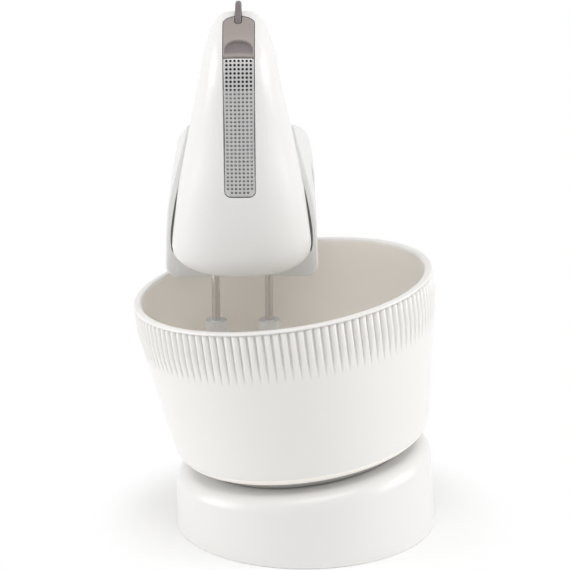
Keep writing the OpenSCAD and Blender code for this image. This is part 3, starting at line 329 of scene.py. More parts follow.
def tool_piece(bm, name):
    """A loose object, made of bm, for one boolean step."""
    mesh = bpy.data.meshes.new(name)
    bmesh.ops.recalc_face_normals(bm, faces=bm.faces)
    bm.to_mesh(mesh)
    bm.free()
    piece = bpy.data.objects.new(name, mesh)
    bpy.context.scene.collection.objects.link(piece)
    return piece


def carve(bm, cutters, join=()):
    """Cuts closed meshes out of bm, or adds them, one after the other, and gives the result."""
    for cutter, kind in [(c, "DIFFERENCE") for c in cutters] + [(c, "UNION") for c in join]:
        body, tool = tool_piece(bm, "blank"), tool_piece(cutter, "cutter")
        step = body.modifiers.new("cut", "BOOLEAN")
        step.operation, step.object, step.solver = kind, tool, "EXACT"
        graph = bpy.context.evaluated_depsgraph_get()
        bm = bmesh.new()
        bm.from_mesh(body.evaluated_get(graph).to_mesh())
        for o in (body, tool):
            old = o.data
            bpy.data.objects.remove(o)
            bpy.data.meshes.remove(old)
        bmesh.ops.remove_doubles(bm, verts=bm.verts, dist=0.0005)
    return bm


def look_up(x, table):
    """The value at x on the straight runs of a table, held past its ends."""
    if x <= table[0][0]:
        return table[0][1]
    for (a, u), (b, v) in zip(table, table[1:]):
        if x <= b:
            return u + (v - u) * (x - a) / (b - a)
    return table[-1][1]


# %% [markdown]
# The bowl leans seven degrees to the left, and everything that turns with it lives in that
# leaning frame. Its wall is one profile spun round the axis: a thin rounded lip, a straight
# band, a cone and a round bottom. The inner faces get a lighter, warmer white: painted
# bounce light that brightens the shaded inside.

# %% Bowl
tilt = radians(7)
deck_x, deck_z = -0.3, 52.5
bowl_place = Matrix.Translation((deck_x, 0, deck_z)) @ Matrix.Rotation(-tilt, 4, "Y")
draft_deg = 9.2
rim_w, lip_r, bowl_r, draft = 126.8, 105.9, 100.0, radians(draft_deg)
groove_r, straight_h, floor_w, rib_top = lip_r - 3, 18.5, 8.8, 125.0
wall, outer_bend, inner_bend = 3.04, 16.5, 13.5
outer_w, inner_w = 22.3, floor_w + inner_bend


def cone(w):
    return lip_r - max(0.0, rim_w - straight_h - w) * tan(draft)


foot = arc(cone(outer_w) - outer_bend / cos(draft), outer_w, outer_bend, -90, -draft_deg)
inner_c = cone(inner_w) - outer_bend / cos(draft)
bowl_profile = [(0, floor_w), (20.4, floor_w), (20.4, 5.8)] + foot
bowl_profile += [(cone(w), w) for w in (40, 55, 70, 80, 88.6)]
bowl_profile += [(102.2, 88.9), (101.7, 90), (101.7, rib_top + 0.1), (lip_r - 0.5, rib_top + 0.1)]
bowl_profile += arc(lip_r - 1.3, rim_w - 1.3, 1.3, -20, 90, 8)
bowl_profile += arc(bowl_r + 2.2, rim_w - 2.2, 2.2, 90, 180, 8)
bowl_profile += [(bowl_r - 0.05, 118), (99.8, 108)]
bowl_profile += [(cone(w) - wall, w) for w in (87, 70, 55, 40)]
bowl_profile += arc(inner_c, inner_w, inner_bend, -draft_deg, -90)
bowl_profile += [(40, floor_w), (26, floor_w), (24.5, 9.4), (23.4, 11.2), (22.4, 11.8), (0, 11.8)]
bowl = ready(spun(bowl_profile, 192), "bowl_shell", "bowl", "bowl", bowl_white, place=bowl_place,
             sharp=50)
# The inner faces take the second finish, lighter and warmer: painted bounce light.
bowl.data.materials.append(bowl_inside_painted_bounce)
from_bowl = bowl_place.inverted()
for face in bowl.data.polygons:
    x, y, w = from_bowl @ (face.center / MM)
    if 9 < w < rim_w - 1.2 and hypot(x, y) < min(cone(w) - 1.6, bowl_r + 0.2):
        face.material_index = 1

# %% [markdown]
# The ribs under the lip are the bowl's gear teeth. One rib is a small grid laid over a single
# tooth pitch, bent to a half-round, and the spin operator repeats it all the way round.
# Each rib fades out downwards because the cone of the wall comes in behind it.

# %% Ribbed rim
teeth, share = 116, 0.43
pinion_x, pinion_drop, pinion_reach = -62.7404, 175.5, 117.0
pin_u = (pinion_x - deck_x) * cos(tilt) + pinion_drop * sin(tilt)
pin_v = sqrt(pinion_reach ** 2 - pin_u ** 2)
phase = atan2(pin_v, pin_u) + pi / teeth


def rib_surface(f, w):
    """Radius of the ribbed band at f of a tooth pitch from the rib's middle, at height w."""
    bulge = 3 * sqrt(max(0.0, 1 - (f / share) ** 2))
    end = min(1.0, max(0.0, (rib_top - w) / 1.6))
    bulge *= sqrt(max(0.0, 1 - (1 - end) ** 2))
    top, low = groove_r + bulge, cone(w) + min(0.02, (w - 87.4) / 10)
    if w > 108.3:
        low = lip_r
    k = 0.25
    m = min(top, low)
    return m - max(0.0, k - abs(top - low)) ** 2 / (4 * k)


bm = bmesh.new()
bmesh.ops.create_grid(bm, x_segments=8, y_segments=9, size=0.5)
across = sorted({round(v.co.x, 4) for v in bm.verts})
upward = sorted({round(v.co.y, 4) for v in bm.verts})
set_across = [-0.5, -0.43, -0.38, -0.22, 0, 0.22, 0.38, 0.43, 0.5]
set_upward = [86.4, 89.5, 93, 98, 104, 108.3, 116, rib_top - 1.6, rib_top - 0.5, rib_top]
for v in bm.verts:
    f = set_across[across.index(round(v.co.x, 4))]
    w = set_upward[upward.index(round(v.co.y, 4))]
    r, a = rib_surface(f, w), phase + 2 * pi * f / teeth
    v.co = (r * cos(a), r * sin(a), w)
bmesh.ops.spin(bm, geom=bm.verts[:] + bm.edges[:] + bm.faces[:], axis=(0, 0, 1), cent=(0, 0, 0),
               angle=2 * pi * (teeth - 1) / teeth, steps=teeth - 1, use_duplicate=True)
ready(bm, "rim_ribs", "bowl", "bowl_gear_rim", bowl_white, place=bowl_place, sharp=60)

# %% [markdown]
# The turntable shows only as a narrow grey ring under the bowl, so its edge gets a small
# round, and the hub stands up into the bowl's recess.

# %% Turntable
bore_r = 4.06
table_profile = [(bore_r, 0.5), (70.6, 0.5)] + arc(70.9, 1.1, 0.6, -90, -40, 4)
table_profile += arc(74.2, 4.7, 0.8, -38, 90, 6) + [(21, 5.5)] + arc(19.2, 7.7, 0.8, 0, 90, 4)
table_profile += [(bore_r, 8.5), (bore_r, 0.5)]
ready(spun(table_profile), "turntable_disc", "bowl", "turntable", table_grey, place=bowl_place)

# %% [markdown]
# The base is a drum whose top leans with the bowl while its foot stays flat on the table.
# No single spin makes that, so a circle is extruded through stations and every ring is laid
# where the leaning deck and the upright wall need it. The shoulder between them keeps one
# radius all round.

# %% Base
base_r, shoulder_r, base_wall = 92.6, 11.0, 3.0
boss_places = [(50, -50), (-72, 8), (mixer_x, 174)]
heel_top = 22


def base_ring(k, inset, low, n=160):
    """Ring k of the base: 0..2 the wall, 3..13 the shoulder, then the deck inwards."""
    hub = bowl_place @ Matrix.Translation((-2.4, 0, 0))
    centre, soft = base_r - shoulder_r - 0.75, shoulder_r - inset
    ring = []
    for i in range(n):
        a = -pi + 2 * pi * i / n
        end = 1.5 - 5.5 * cos(a)
        turn = radians(end + (90 - end) * max(k - 2, 0) / 11)
        if k < 2:
            r = base_r - inset - 0.6 * (1 - k) * (inset == 0)
            ring.append(Vector((r * cos(a), r * sin(a), low + 0.6 * k)))
        elif k < 14:
            r = centre + soft * cos(turn)
            ring.append(hub @ Vector((r * cos(a), r * sin(a), soft * sin(turn) - shoulder_r)))
        else:
            r = (70, 30)[k - 14]
            ring.append(hub @ Vector((r * cos(a), r * sin(a), -inset)))
    return ring


def drum(inset, low):
    return loft([base_ring(k, inset, low) for k in range(16)])


def heel(inset, low):
    """The foot that carries the column: a flat box with round corners, softened at the top."""
    bm = block(92 - 2 * inset, 156 - 2 * inset, heel_top - inset - low,
               (mixer_x, 108, (heel_top - inset + low) / 2))
    round_edges(bm, upright_edges(bm), 14 - inset, 10)
    if inset == 0:
        top = [e for e in bm.edges if min(v.co.z for v in e.verts) > heel_top - 0.1]
        round_edges(bm, top, 2.4, 5)
    return bm


def rod(r, z0, z1, x=0, y=0, place=None, n=48):
    """A closed round bar between two heights."""
    bm = spun([(0, z0), (r, z0), (r, z1), (0, z1)], n)
    bmesh.ops.transform(bm, matrix=place or Matrix.Translation((x, y, 0)), verts=bm.verts)
    return bm


def under_deck(x, y):
    """Height at which a screw boss ends inside the heel's or the drum's top wall."""
    top = heel_top if y > 100 else deck_z + (x - deck_x) * tan(tilt)
    return top - base_wall / 2


bosses = [rod(5, 3.3, under_deck(x, y), x, y) for x, y in boss_places]
drilled = [rod(1.5, -1, 13, x, y, n=24) for x, y in boss_places]
hull = carve(drum(0, 0), [], [heel(0, 0)])
hub_boss = rod(12, -25.5, -1.5, place=bowl_place)
hull = carve(hull, [drum(base_wall, -5), heel(base_wall, -5)], bosses + [hub_boss])
hull = carve(hull, [rod(8.05, -40, 20, place=bowl_place)] + drilled)
ready(hull, "base_shell", "stand", "base_housing", white, sharp=40)

# %% [markdown]
# The mixer's nose, handle and rear post are one white shell. Its section changes all the way:
# wide and soft at the chin, narrow at the crest, a rounded grip above the fingers. The ring
# formula is a superellipse that bulges more outwards than inwards, and the stations follow
# the nose up, over the bend and down the handle.

# %% Nose shell stations
bend_y, bend_z, bend_r = -16.3, 331.4, 44.0
front_lean = radians(5)
strip_z, chin_z = 256.2, 195.5
straight = (bend_z - bend_r * sin(front_lean) - strip_z) / cos(front_lean)
nose_w = [(chin_z, 48.8), (214, 48.3), (234, 45.8), (248, 44), (262, 41.7), (298, 34.4),
          (bend_z, 27.5)]
nose_front = [(chin_z, -46.6), (258, -54), (300, -58.2), (327.5, -60.1), (bend_z, -60.3)]
nose_mid = [(285, -14), (300, -20), (310, -25), (320, -28.5), (bend_z, -30.3)]
nose_rear = [(270, -3), (285, -5), (300, -14), (310, -19.5), (320, -22.5), (bend_z, -23.3)]
fall, grip_len = radians(19), 95
end_c = (bend_y + grip_len * cos(fall) - 8 * sin(fall),
         bend_z - grip_len * sin(fall) - 8 * cos(fall))


def eased(x, table):
    """The table's value, rounded off where its straight runs meet."""
    return sum(look_up(x + d, table) for d in (-6, -3, 0, 3, 6)) / 5


def oval(w, a_out, a_in, n_out, n_in, k, n):
    """A ring of n points: half width w, a_out and a_in deep, narrower outwards by the share k."""
    ring = []
    for i in range(n):
        a = 2 * pi * (i + 0.5) / n
        c, s = cos(a), sin(a)
        e = n_out if s > 0 else n_in
        t = abs(s) ** (2 / e)
        x = -w * (1 - (k * t if s > 0 else 0)) * (1 if c > 0 else -1) * abs(c) ** (2 / e)
        ring.append((x, (a_out if s > 0 else -a_in) * t))
    return ring


def low_ring(z, n, d):
    """Ring of the upright part of the nose at height z, moved d inwards."""
    front_d = d + 1.7 if d else 0
    q = min(1.0, max(0.0, (z - chin_z - d) / (16 - d)))
    b = 1 - sqrt(max(0.0, 1 - (1 - q) ** 2))
    m = eased(z, nose_mid) if z < 322 else look_up(z, nose_mid)
    front = look_up(z, nose_front) if z > 320 else eased(z, nose_front)
    half = look_up(z, nose_w) if z > 325 else eased(z, nose_w)
    section = oval(half - d - 22 * b, m - front - front_d - 7 * b, look_up(z, nose_rear) - m - d,
                   look_up(z, power_low), look_up(z, power_rear), look_up(z, taper_low), n)
    return [(mixer_x + x, m - out, z) for x, out in section]


def bent_ring(c, rho, turn, section, n, drop=0):
    """Ring that stands out from the point c in (Y, Z), turned from ahead towards the rear."""
    return [(mixer_x + x, c[0] - (rho + out) * cos(turn), c[1] + (rho + out) * sin(turn) - drop)
            for x, out in oval(*section, n)]


power_low = [(214, 2.3), (300, 2.6), (331, 3)]
power_rear = [(285, 9), (320, 3.5)]
taper_low = [(214, 0), (331, 0.15)]
bend_deg = 109
bend_half = [(0, 27.5), (60, 25.3), (bend_deg, 25)]
power_bend = [(0, 3), (80, 4)]
taper_bend = [(0, 0.15), (bend_deg, 0.364)]


def nose_rings(n=96, d=0.0):
    """The rings of the whole shell, moved d inwards: nose, bend, grip, rear bend, post."""
    chin = chin_z + d
    rounding = (0, 0.01, 0.03, 0.07, 0.13, 0.22, 0.34, 0.5, 0.7, 1)
    rings = [low_ring(chin + (16 - d) * q, n, d) for q in rounding]
    rings += [low_ring(z, n, d) for z in [214 + 4 * i for i in range(1, 29)]]
    for i in range(55):
        deg = bend_deg * i / 54
        out = 30 - look_up(deg, [(40, d + 1.7 if d else 0), (60, d)])
        section = (look_up(deg, bend_half) - d, out, 7 - d, look_up(deg, power_bend), 4,
                   look_up(deg, taper_bend))
        rings.append(bent_ring((bend_y, bend_z), 14, radians(deg), section, n))
    for i in range(1, 13):
        f = i / 12
        c = (bend_y + f * grip_len * cos(fall), bend_z - f * grip_len * sin(fall))
        section = (25 - 4 * f - d, 30 - 6 * f - d, 7 - 2 * f - d, 4, 4, 0.364)
        rings.append(bent_ring(c, 14, radians(bend_deg), section, n))
    for i in range(1, 15):
        f = i / 14
        section = (21 - f - d, 24 - 6 * f - d, 5 - d, 4, 4, 0.364 - 0.104 * f)
        turn = radians(bend_deg + (180 - bend_deg) * f)
        rings.append(bent_ring(end_c, 22, turn, section, n))
    for drop in (8, 16, 28, 45):
        rings.append(bent_ring(end_c, 22, pi, (20 - d, 18 - d, 5 - d, 4, 4, 0.26), n, drop))
    return rings


def nose_surface(x, s_up):
    """How far the nose's skin falls back at x, at length s_up along its front line."""
    if s_up < straight:
        at, tables = strip_z + s_up * cos(front_lean), (nose_w, power_low, taper_low)
        depth = look_up(at, nose_mid) - look_up(at, nose_front)
    else:
        at, tables = degrees_up(s_up - straight), (bend_half, power_bend, taper_bend)
        depth = 30
    half, power, taper = (look_up(at, table) for table in tables)
    t = 1.0
    for _ in range(20):
        c = min(1.0, abs(x) / (half * (1 - taper * t)))
        t = (1 - c ** power) ** (1 / power)
    return depth * (1 - t)


def degrees_up(length):
    return length / bend_r * 180 / pi - 5


# %% [markdown]
# The shell is then opened with exact cuts: the seat of the perforated strip, the button's
# window, the fin's slot and the slope where it sits on the motor housing. Cutting a solid and
# hollowing it is how the moulded part is drawn too.

# %% Nose shell
def deck_at(y):
    """Height of the motor housing's top, which falls towards the rear."""
    return 295 - (y + 9) * 0.2477


def prism(points, half, axis_x=mixer_x):
    """A closed outline in (Y, Z), pulled sideways to both sides of the mixer's middle."""
    bm = bmesh.new()
    verts = [bm.verts.new((axis_x - half, y, z)) for y, z in points]
    face = bm.faces.new(verts)
    made = bmesh.ops.extrude_face_region(bm, geom=[face])
    bmesh.ops.translate(bm, vec=(2 * half, 0, 0), verts=new_verts(made))
    bmesh.ops.recalc_face_normals(bm, faces=bm.faces)
    return bm


def front_line(s, depth=0.0):
    """Point (Y, Z) at length s up the nose's front line, depth inside the surface."""
    r = bend_r - depth
    if s < straight:
        back = straight - s
        return (bend_y - r * cos(-front_lean) + back * sin(front_lean),
                bend_z + r * sin(-front_lean) - back * cos(front_lean))
    a = radians(degrees_up(s - straight))
    return (bend_y - r * cos(a), bend_z + r * sin(a))


strip_half = 10.3
strip_len = straight + bend_r * radians(33)
print("strip length", round(strip_len, 1))


def band(half, s0, s1, out, depth, steps=60, corner=0.0):
    """A curved bar that follows the nose's front line, as a cutter or a blank."""
    rings = []
    round_steps = 12 if corner else 0
    for i in range(steps + 1):
        if i < round_steps:
            s = s0 + corner * (1 - cos(pi / 2 * i / round_steps))
        else:
            s = s0 + corner + (s1 - s0 - corner) * (i - round_steps) / (steps - round_steps)
        h = half
        if corner and s - s0 < corner:
            h = half - corner + sqrt(max(0.0, corner ** 2 - (corner - (s - s0)) ** 2))
        (yo, zo), (yi, zi) = front_line(s, -out), front_line(s, depth)
        rings.append([(mixer_x - h, yo, zo), (mixer_x + h, yo, zo),
                      (mixer_x + h, yi, zi), (mixer_x - h, yi, zi)])
    return loft(rings)


rear_top = deck_at(140) + 0.3
housing_side = prism([(-9.3, 100), (-9.3, 295.3), (140, rear_top), (220, rear_top), (220, 100)], 90)
seat_half, seat_corner = 10.75, 4.5
seat_cut = band(seat_half, -0.6, strip_len + 2.2, 8, 2.0, corner=seat_corner)
press_turn, press_low, press_top, press_arch = radians(90 - 61), -22.6, 13.2, 11.6
bend_place = Matrix.Translation((mixer_x, bend_y, bend_z))
press_place = bend_place @ Matrix.Rotation(press_turn, 4, "X")
grip_place = bend_place @ Matrix.Rotation(-fall, 4, "X")


def window(half, gap, low, high):
    """A closed bar in the outline of the button, gap wider all round."""
    centre, r = press_top - press_arch, press_arch + gap
    first = asin((half + gap) / r)
    turns = [first * (1 - i / 12) for i in range(25)]
    top = [(r * sin(a), centre + r * cos(a)) for a in turns]
    bm = bmesh.new()
    outline = [(half + gap, press_low - gap)] + top + [(-half - gap, press_low - gap)]
    face = bm.faces.new([bm.verts.new((x, t, low)) for x, t in outline])
    lid = bmesh.ops.extrude_face_region(bm, geom=[face])
    bmesh.ops.translate(bm, vec=(0, 0, high - low), verts=new_verts(lid))
    bmesh.ops.transform(bm, matrix=press_place, verts=bm.verts)
    return bm


button_half = 10.5
button_cut = window(button_half, 0.35, 28, 60)
fin_x, slot_w, slot_len, slot_start = -0.4, 5.0, 46.7, -23.6
slot_cut = block(slot_w, slot_len, 20, (fin_x, slot_start + slot_len / 2, 46), place=grip_place)
shell = carve(loft(nose_rings()), [loft(nose_rings(48, 2.5))])
shell = carve(shell, [housing_side, button_cut, slot_cut, seat_cut])
nose = ready(shell, "nose_moulding", "mixer", "nose_shell", white, sharp=38)
# The second slot is painted shade: the seat behind the strip gets the black finish.
nose.data.materials.append(black)
strip_foot_y = -54.09
for face in nose.data.polygons:
    # The walls and the floor of the strip's seat are black as painted shade, so the holes look
    # deep.
    x, y, z = face.center / MM
    if z > bend_z:
        sunk = bend_r - hypot(y - bend_y, z - bend_z)
    else:
        sunk = (y - strip_foot_y) * cos(front_lean) + (z - strip_z) * sin(front_lean)
    up = (z - strip_z) / cos(front_lean) + 0.6
    half = seat_half
    if up <= seat_corner:
        half += sqrt(max(0.0, seat_corner ** 2 - (seat_corner - up) ** 2)) - seat_corner
    if abs(x - mixer_x) < half + 0.03 and up > -0.05 and y < -30 and 0.3 < sunk < 2.1:
        face.material_index = 1

# %% [markdown]
# The motor housing carries the pale cheeks beside the nose. Its section is a rounded box
# that narrows upwards; the front edge is nearly sharp, the tail is well rounded. Seven slots
# let the motor's air out, and a lens-shaped slit on each side parts the chin from its cheek.

# %% Motor housing
whisk_x, tail_r = 18.7, 12
side_w = [(180, 53.7), (185, 53.6), (222, 52.4), (240, 50.8), (256, 47.1), (291, 37.9), (300, 35.5)]


def floor_at(y):
    return look_up(y, [(50, 185.5), (58, 205)])


def housing_ring(y, d):
    """Section of the housing at depth y, moved d inwards."""
    z0, z1 = floor_at(y) + d, deck_at(y) - d
    r0 = max(8.4 - d / 2, 2.0)
    r1 = max(look_up(y, [(-9, 2.5), (30, 9), (90, 16)]) - d / 2, 1.0)
    quarter = [radians(9 * i) for i in range(11)]

    def w(z):
        return eased(z, side_w) - d

    half = [(w(z0) * 0.4, z0)]
    half += [(w(z0 + r0) - r0 + r0 * sin(a), z0 + r0 - r0 * cos(a)) for a in quarter]
    half += [(w(z), z) for z in [z0 + r0 + (z1 - r1 - z0 - r0) * k / 14 for k in range(1, 14)]]
    half += [(w(z1 - r1) - r1 + r1 * cos(a), z1 - r1 + r1 * sin(a)) for a in quarter]
    half += [(w(z1) * 0.4, z1)]
    return [(mixer_x + x, y, z) for x, z in half] + [(mixer_x - x, y, z) for x, z in reversed(half)]


level = (0, 10, 20, 30, 40, 49, 50.5, 54, 57.5, 59, 68, 80, 90, 100, 110, 120)
stations = [(-9, 1.6), (-8.75, 0.9), (-8.3, 0.35), (-7.4, 0.0)] + [(y, 0) for y in level]
stations += [(120 + tail_r * sin(a), tail_r * (1 - cos(a)))
             for a in [radians(q) for q in range(10, 91, 10)]]
vents = [block(160, 2.2, 14, (mixer_x, 45.1 + 5 * i, 239), 0.9) for i in range(7)]
sockets = []
for x in (-whisk_x, whisk_x):
    hole = spun([(0, 175), (9.5, 175), (9.5, 200), (0, 200)], 48)
    bmesh.ops.translate(hole, vec=(mixer_x + x, 0, 0), verts=hole.verts)
    sockets.append(hole)
blank = loft([housing_ring(y, d) for y, d in stations])
slits = []
for side in (-1, 1):
    rings = []
    for i in range(25):
        z = 204 + 51 * i / 24
        lens = sin(pi * min(0.98, max(0.02, (i / 24) ** 0.7))) ** 0.8
        inner = eased(z, nose_w) - 3.0
        outer = eased(z, nose_w) - 0.5 + 2.2 * lens
        corners = ((inner, -14), (outer, -14), (outer, -1), (inner, -1))
        rings.append([(mixer_x + side * x, y, z) for x, y in corners])
    slits.append(loft(rings))
cheeks = carve(blank, vents + sockets + slits)
ready(cheeks, "motor_housing_shell", "mixer", "motor_housing", pale, sharp=32)

# %% [markdown]
# The perforated strip is what the eye finds first. One cell of it is a small square with a
# round hole, made by bridging a circle to the square's edge; the cell is copied in rows and
# columns, and the flat sheet is then laid along the nose's front line.

# %% Perforated strip
pitch_x, pitch_s, hole_r = 2.7, 2.8, 0.9
first_row, rows = 2.95, 34
thick, sink = 0.8, 0.25
corner_r, hem_x, near = 4.0, 9.4, 0.01


def cell(bm, cx, cy, w, h, hole):
    """One square of the sheet, with a round hole of that radius, or without one."""
    n = 16
    made = bmesh.ops.create_circle(bm, segments=n, radius=1)["verts"]
    edge = {e for v in made for e in v.link_edges}
    for v in made:
        a = atan2(v.co.y, v.co.x)
        k = 1 / max(abs(cos(a)), abs(sin(a)))
        v.co = (cx + w / 2 * k * cos(a), cy + h / 2 * k * sin(a), 0)
    if not hole:
        bmesh.ops.edgeloop_fill(bm, edges=list(edge))
        return
    ring = bmesh.ops.create_circle(bm, segments=n, radius=hole)["verts"]
    bmesh.ops.translate(bm, vec=(cx, cy, 0), verts=ring)
    bmesh.ops.bridge_loops(bm, edges=list(edge) + list({e for v in ring for e in v.link_edges}))


sheet = bmesh.new()
for i in range(rows):
    for j in range(7):
        hole = 0 if i == 0 and j in (0, 6) else hole_r
        cell(sheet, (j - 3) * pitch_x, first_row + i * pitch_s, pitch_x, pitch_s, hole)
bmesh.ops.remove_doubles(sheet, verts=sheet.verts, dist=0.001)
top_s = first_row + (rows - 0.5) * pitch_s
low_s = first_row - 0.5 * pitch_s


def on_rim(e):
    """Whether an open edge lies on the outline of the holed field, and not round a hole."""
    a, b = e.verts[0].co, e.verts[1].co
    at_side = max(abs(a.x), abs(b.x)) > hem_x and abs(a.x - b.x) < near
    at_end = abs(a.y - b.y) < near and (a.y < low_s + near or a.y > top_s - near)
    return len(e.link_faces) == 1 and (at_side or at_end)


made = bmesh.ops.extrude_edge_only(sheet, edges=[e for e in sheet.edges if on_rim(e)])
for v in new_verts(made):
    x, y = v.co.x, v.co.y
    if abs(x) > hem_x:
        v.co.x = strip_half * (1 if x > 0 else -1)
    if y < low_s + near:
        v.co.y = 0.0
    if y > top_s - near:
        v.co.y = strip_len
for v in sheet.verts:
    x, y = v.co.x, v.co.y
    over_x, over_y = abs(x) - (strip_half - corner_r), corner_r - y
    if over_x > 0 and over_y > 0:
        d = hypot(over_x, over_y)
        if d > corner_r:
            v.co.x = (strip_half - corner_r + over_x * corner_r / d) * (1 if x > 0 else -1)
            v.co.y = corner_r - over_y * corner_r / d
bmesh.ops.recalc_face_normals(sheet, faces=sheet.faces)
if sheet.faces[0].normal.z < 0:
    bmesh.ops.reverse_faces(sheet, faces=sheet.faces)
made = bmesh.ops.extrude_face_region(sheet, geom=sheet.faces[:])
bmesh.ops.translate(sheet, vec=(0, 0, -thick), verts=new_verts(made))
for v in sheet.verts:
    x, s, depth = v.co.x, v.co.y, -v.co.z + sink + nose_surface(v.co.x, v.co.y)
    edge = strip_half - abs(x)
    if v.co.z > -near and min(edge, s) < 0.05:
        depth += 0.35
    y, z = front_line(s, depth)
    v.co = (mixer_x + x, y, z)

p = Paint("strip_brushed")
lines = p.noise(0.001, 3, 0.6, p.place((1.2, 0.06, 0.03)))
shade = p.mix(lines * 0.5, rgb(204, 204, 204), rgb(150, 149, 149))
strip_metal = p.finish(Base_Color=shade, Roughness=lines * 0.14 + 0.24, Metallic=1.0,
                       Normal=p.relief(lines, 0.000008))
ready(sheet, "strip_sheet", "mixer", "perforated_strip", strip_metal, sharp=30)

# %% [markdown]
# The eject button fills the top of the nose, right above the strip. It is a curved cap with
# a finger scoop at its lower end and a notch at the rear for the fin. Its face stays bare,
# and a mask in the finish paints shade into the scoop, so it is darker than the rest.

# %% Eject button
scoop_half, scoop_from, scoop_rise = 9.3, 11.4, 4.6


def button_outline(t):
    """Half width of the button at length t along it: straight sides under a round arch."""
    over = t - (press_top - press_arch)
    if over <= 0:
        return button_half
    return min(button_half, sqrt(max(0.0, press_arch ** 2 - over ** 2)))


def button_face(x, t):
    """Height of the cap over the bend's centre: crowned, softened at its rim, scooped low down."""
    over = t - (press_top - press_arch)
    edge = min(button_half - abs(x), t - press_low, press_arch - hypot(x, over) if over > 0 else 9)
    soft = 0.8
    drop = soft - sqrt(max(0.0, soft ** 2 - max(0.0, soft - edge) ** 2))
    aside = (x / scoop_half) ** 2
    lip = t + scoop_from + scoop_rise * aside * (0.4 + 0.6 * aside)
    deep = min(1.0, max(0.0, -lip / 1.6))
    back = min(1.0, max(0.0, (t - press_low) / 10.0))
    side = min(1.0, max(0.0, (button_half - 0.9 - abs(x)) / 1.5))
    scoop = 2.4 * (deep * side) ** 0.5 * back ** 0.8
    return sqrt((43.85 - x * x / 168) ** 2 - t * t) - drop - scoop


p = Paint("taupe_painted_scoop_shade")
cloud = p.noise(0.03, 2)
spot = p.node("ShaderNodeSeparateXYZ", Vector=p.place())
spot_y, spot_z = [Flow(p, spot.out.node.outputs[k]) for k in (1, 2)]
along = (spot_y * 1000 - bend_y) * cos(press_turn) + (spot_z * 1000 - bend_z) * sin(press_turn)
aside = (spot * 1000 - mixer_x) / scoop_half
aside = aside * aside
under = along * -1 - scoop_from - aside * (aside * 0.6 + 0.4) * scoop_rise
# Painted shade: the mask darkens the finger scoop, where the recess lies in shadow.
scoop_shade_mask = p.smooth(under, -0.1, 0.5) * p.smooth(along, press_low, -18.5) * p.smooth(aside, 1.12, 0.98)
cap_base = p.mix(cloud * 0.1, rgb(157, 147, 143), rgb(150, 140, 136))
cap_taupe_with_shade = p.finish(Base_Color=p.mix(scoop_shade_mask, cap_base, rgb(116, 106, 107)),
                     Roughness=cloud * 0.06 + 0.4,
                     Normal=p.relief(p.noise(0.0006, 2), 0.00001))
rings = []
steps, cap_under = 90, 32.2
for i in range(steps + 1):
    t = press_low + (press_top - 0.01 - press_low) * (i / steps)
    half = button_outline(t)
    across = [half * sin(radians(2.25 * k)) for k in range(-40, 41)]
    ring = [(x, t, button_face(x, t)) for x in across]
    rings.append(ring + [(half, t, cap_under), (-half, t, cap_under)])
fin_way = block(slot_w, 24, 40, (fin_x, 14.8, 40))
round_edges(fin_way, upright_edges(fin_way), 2.4, 6)
ready(carve(loft(rings), [fin_way]), "eject_cap", "eject", "eject_button", cap_taupe_with_shade,
      place=press_place, sharp=50)

# %% [markdown]
# The speed slider shows as a thin half-moon fin standing in its slot. Its edge is rounded
# all round, because a thumb pushes it.

# %% Speed slider
fin_r, fin_half = 19.2, 2.1
fin_y, fin_z = -10.6, 30.4
fin = bmesh.new()
bmesh.ops.create_circle(fin, segments=128, radius=fin_r, cap_ends=True)
bmesh.ops.rotate(fin, matrix=Matrix.Rotation(radians(90), 3, "Y"), verts=fin.verts)
made = bmesh.ops.extrude_face_region(fin, geom=fin.faces[:])
bmesh.ops.translate(fin, vec=(2 * fin_half, 0, 0), verts=new_verts(made))
bmesh.ops.translate(fin, vec=(fin_x - fin_half, fin_y, fin_z), verts=fin.verts)
front_turn = press_turn + fall
front = Vector((0, cos(front_turn), sin(front_turn)))
for point, away in ((Vector((0, 0, fin_z - 2)), Vector((0, 0, -1))), (front * 3.1, -front)):
    bmesh.ops.bisect_plane(fin, geom=fin.verts[:] + fin.edges[:] + fin.faces[:], plane_co=point,
                           plane_no=away, clear_outer=True)
    bmesh.ops.edgeloop_fill(fin, edges=[e for e in fin.edges if len(e.link_faces) == 1])
corner_edges = [e for e in fin.edges if e.calc_face_angle(0) > 0.7
                and abs(e.verts[0].co.x - e.verts[1].co.x) < near
                and min(v.co.z for v in e.verts) > fin_z - 1.9]
round_edges(fin, corner_edges, 1.8, 6)
foot = block(12, 14, 10.2, (0, 1, 33.4), 0.6)
ready(fin, "speed_fin", "speed", "speed_slider", slate, place=grip_place)
ready(foot, "speed_foot", "speed", "speed_slider", slate, place=grip_place)

# %% [markdown]
# Each whisk is three closed wires of polished steel, one inside the other, that leave a
# small hub, swing out and come back. A wire is a round section carried along that loop; the
# hub is turned, with a small round at both ends.

# %% Whisks
whisk_r, wire_r, root_r, wire_end, whisk_low = 21.0, 1.0, 4.3, 130.0, 69.0


def wire_point(f, low):
    """Place on the wire's loop, f from 0 to 360 degrees, as (sideways, up)."""
    q = 360 - f if f > 180 else f
    side = -1 if f > 180 else 1
    belly = sin(radians(q)) * (1 - 0.35 * cos(radians(q)))
    out = root_r * cos(radians(q / 2)) ** 2 + (whisk_r - 1.5) / 1.06 * belly
    return side * out, wire_end - (wire_end - low) * (1 - cos(radians(q))) / 2


def wire(low, steps=96, sides=12):
    rings = []
    for i in range(steps + 1):
        f = 360 * i / steps
        x, z = wire_point(f, low)
        (x0, z0), (x1, z1) = wire_point(max(f - 1, 0), low), wire_point(min(f + 1, 360), low)
        run = hypot(x1 - x0, z1 - z0)
        tx, tz = (x1 - x0) / run, (z1 - z0) / run
        turns = [2 * pi * (k + 0.5) / sides - pi for k in range(sides)]
        rings.append([(x + wire_r * cos(a) * tz, wire_r * sin(a), z - wire_r * cos(a) * tx)
                      for a in turns])
    return loft(rings)


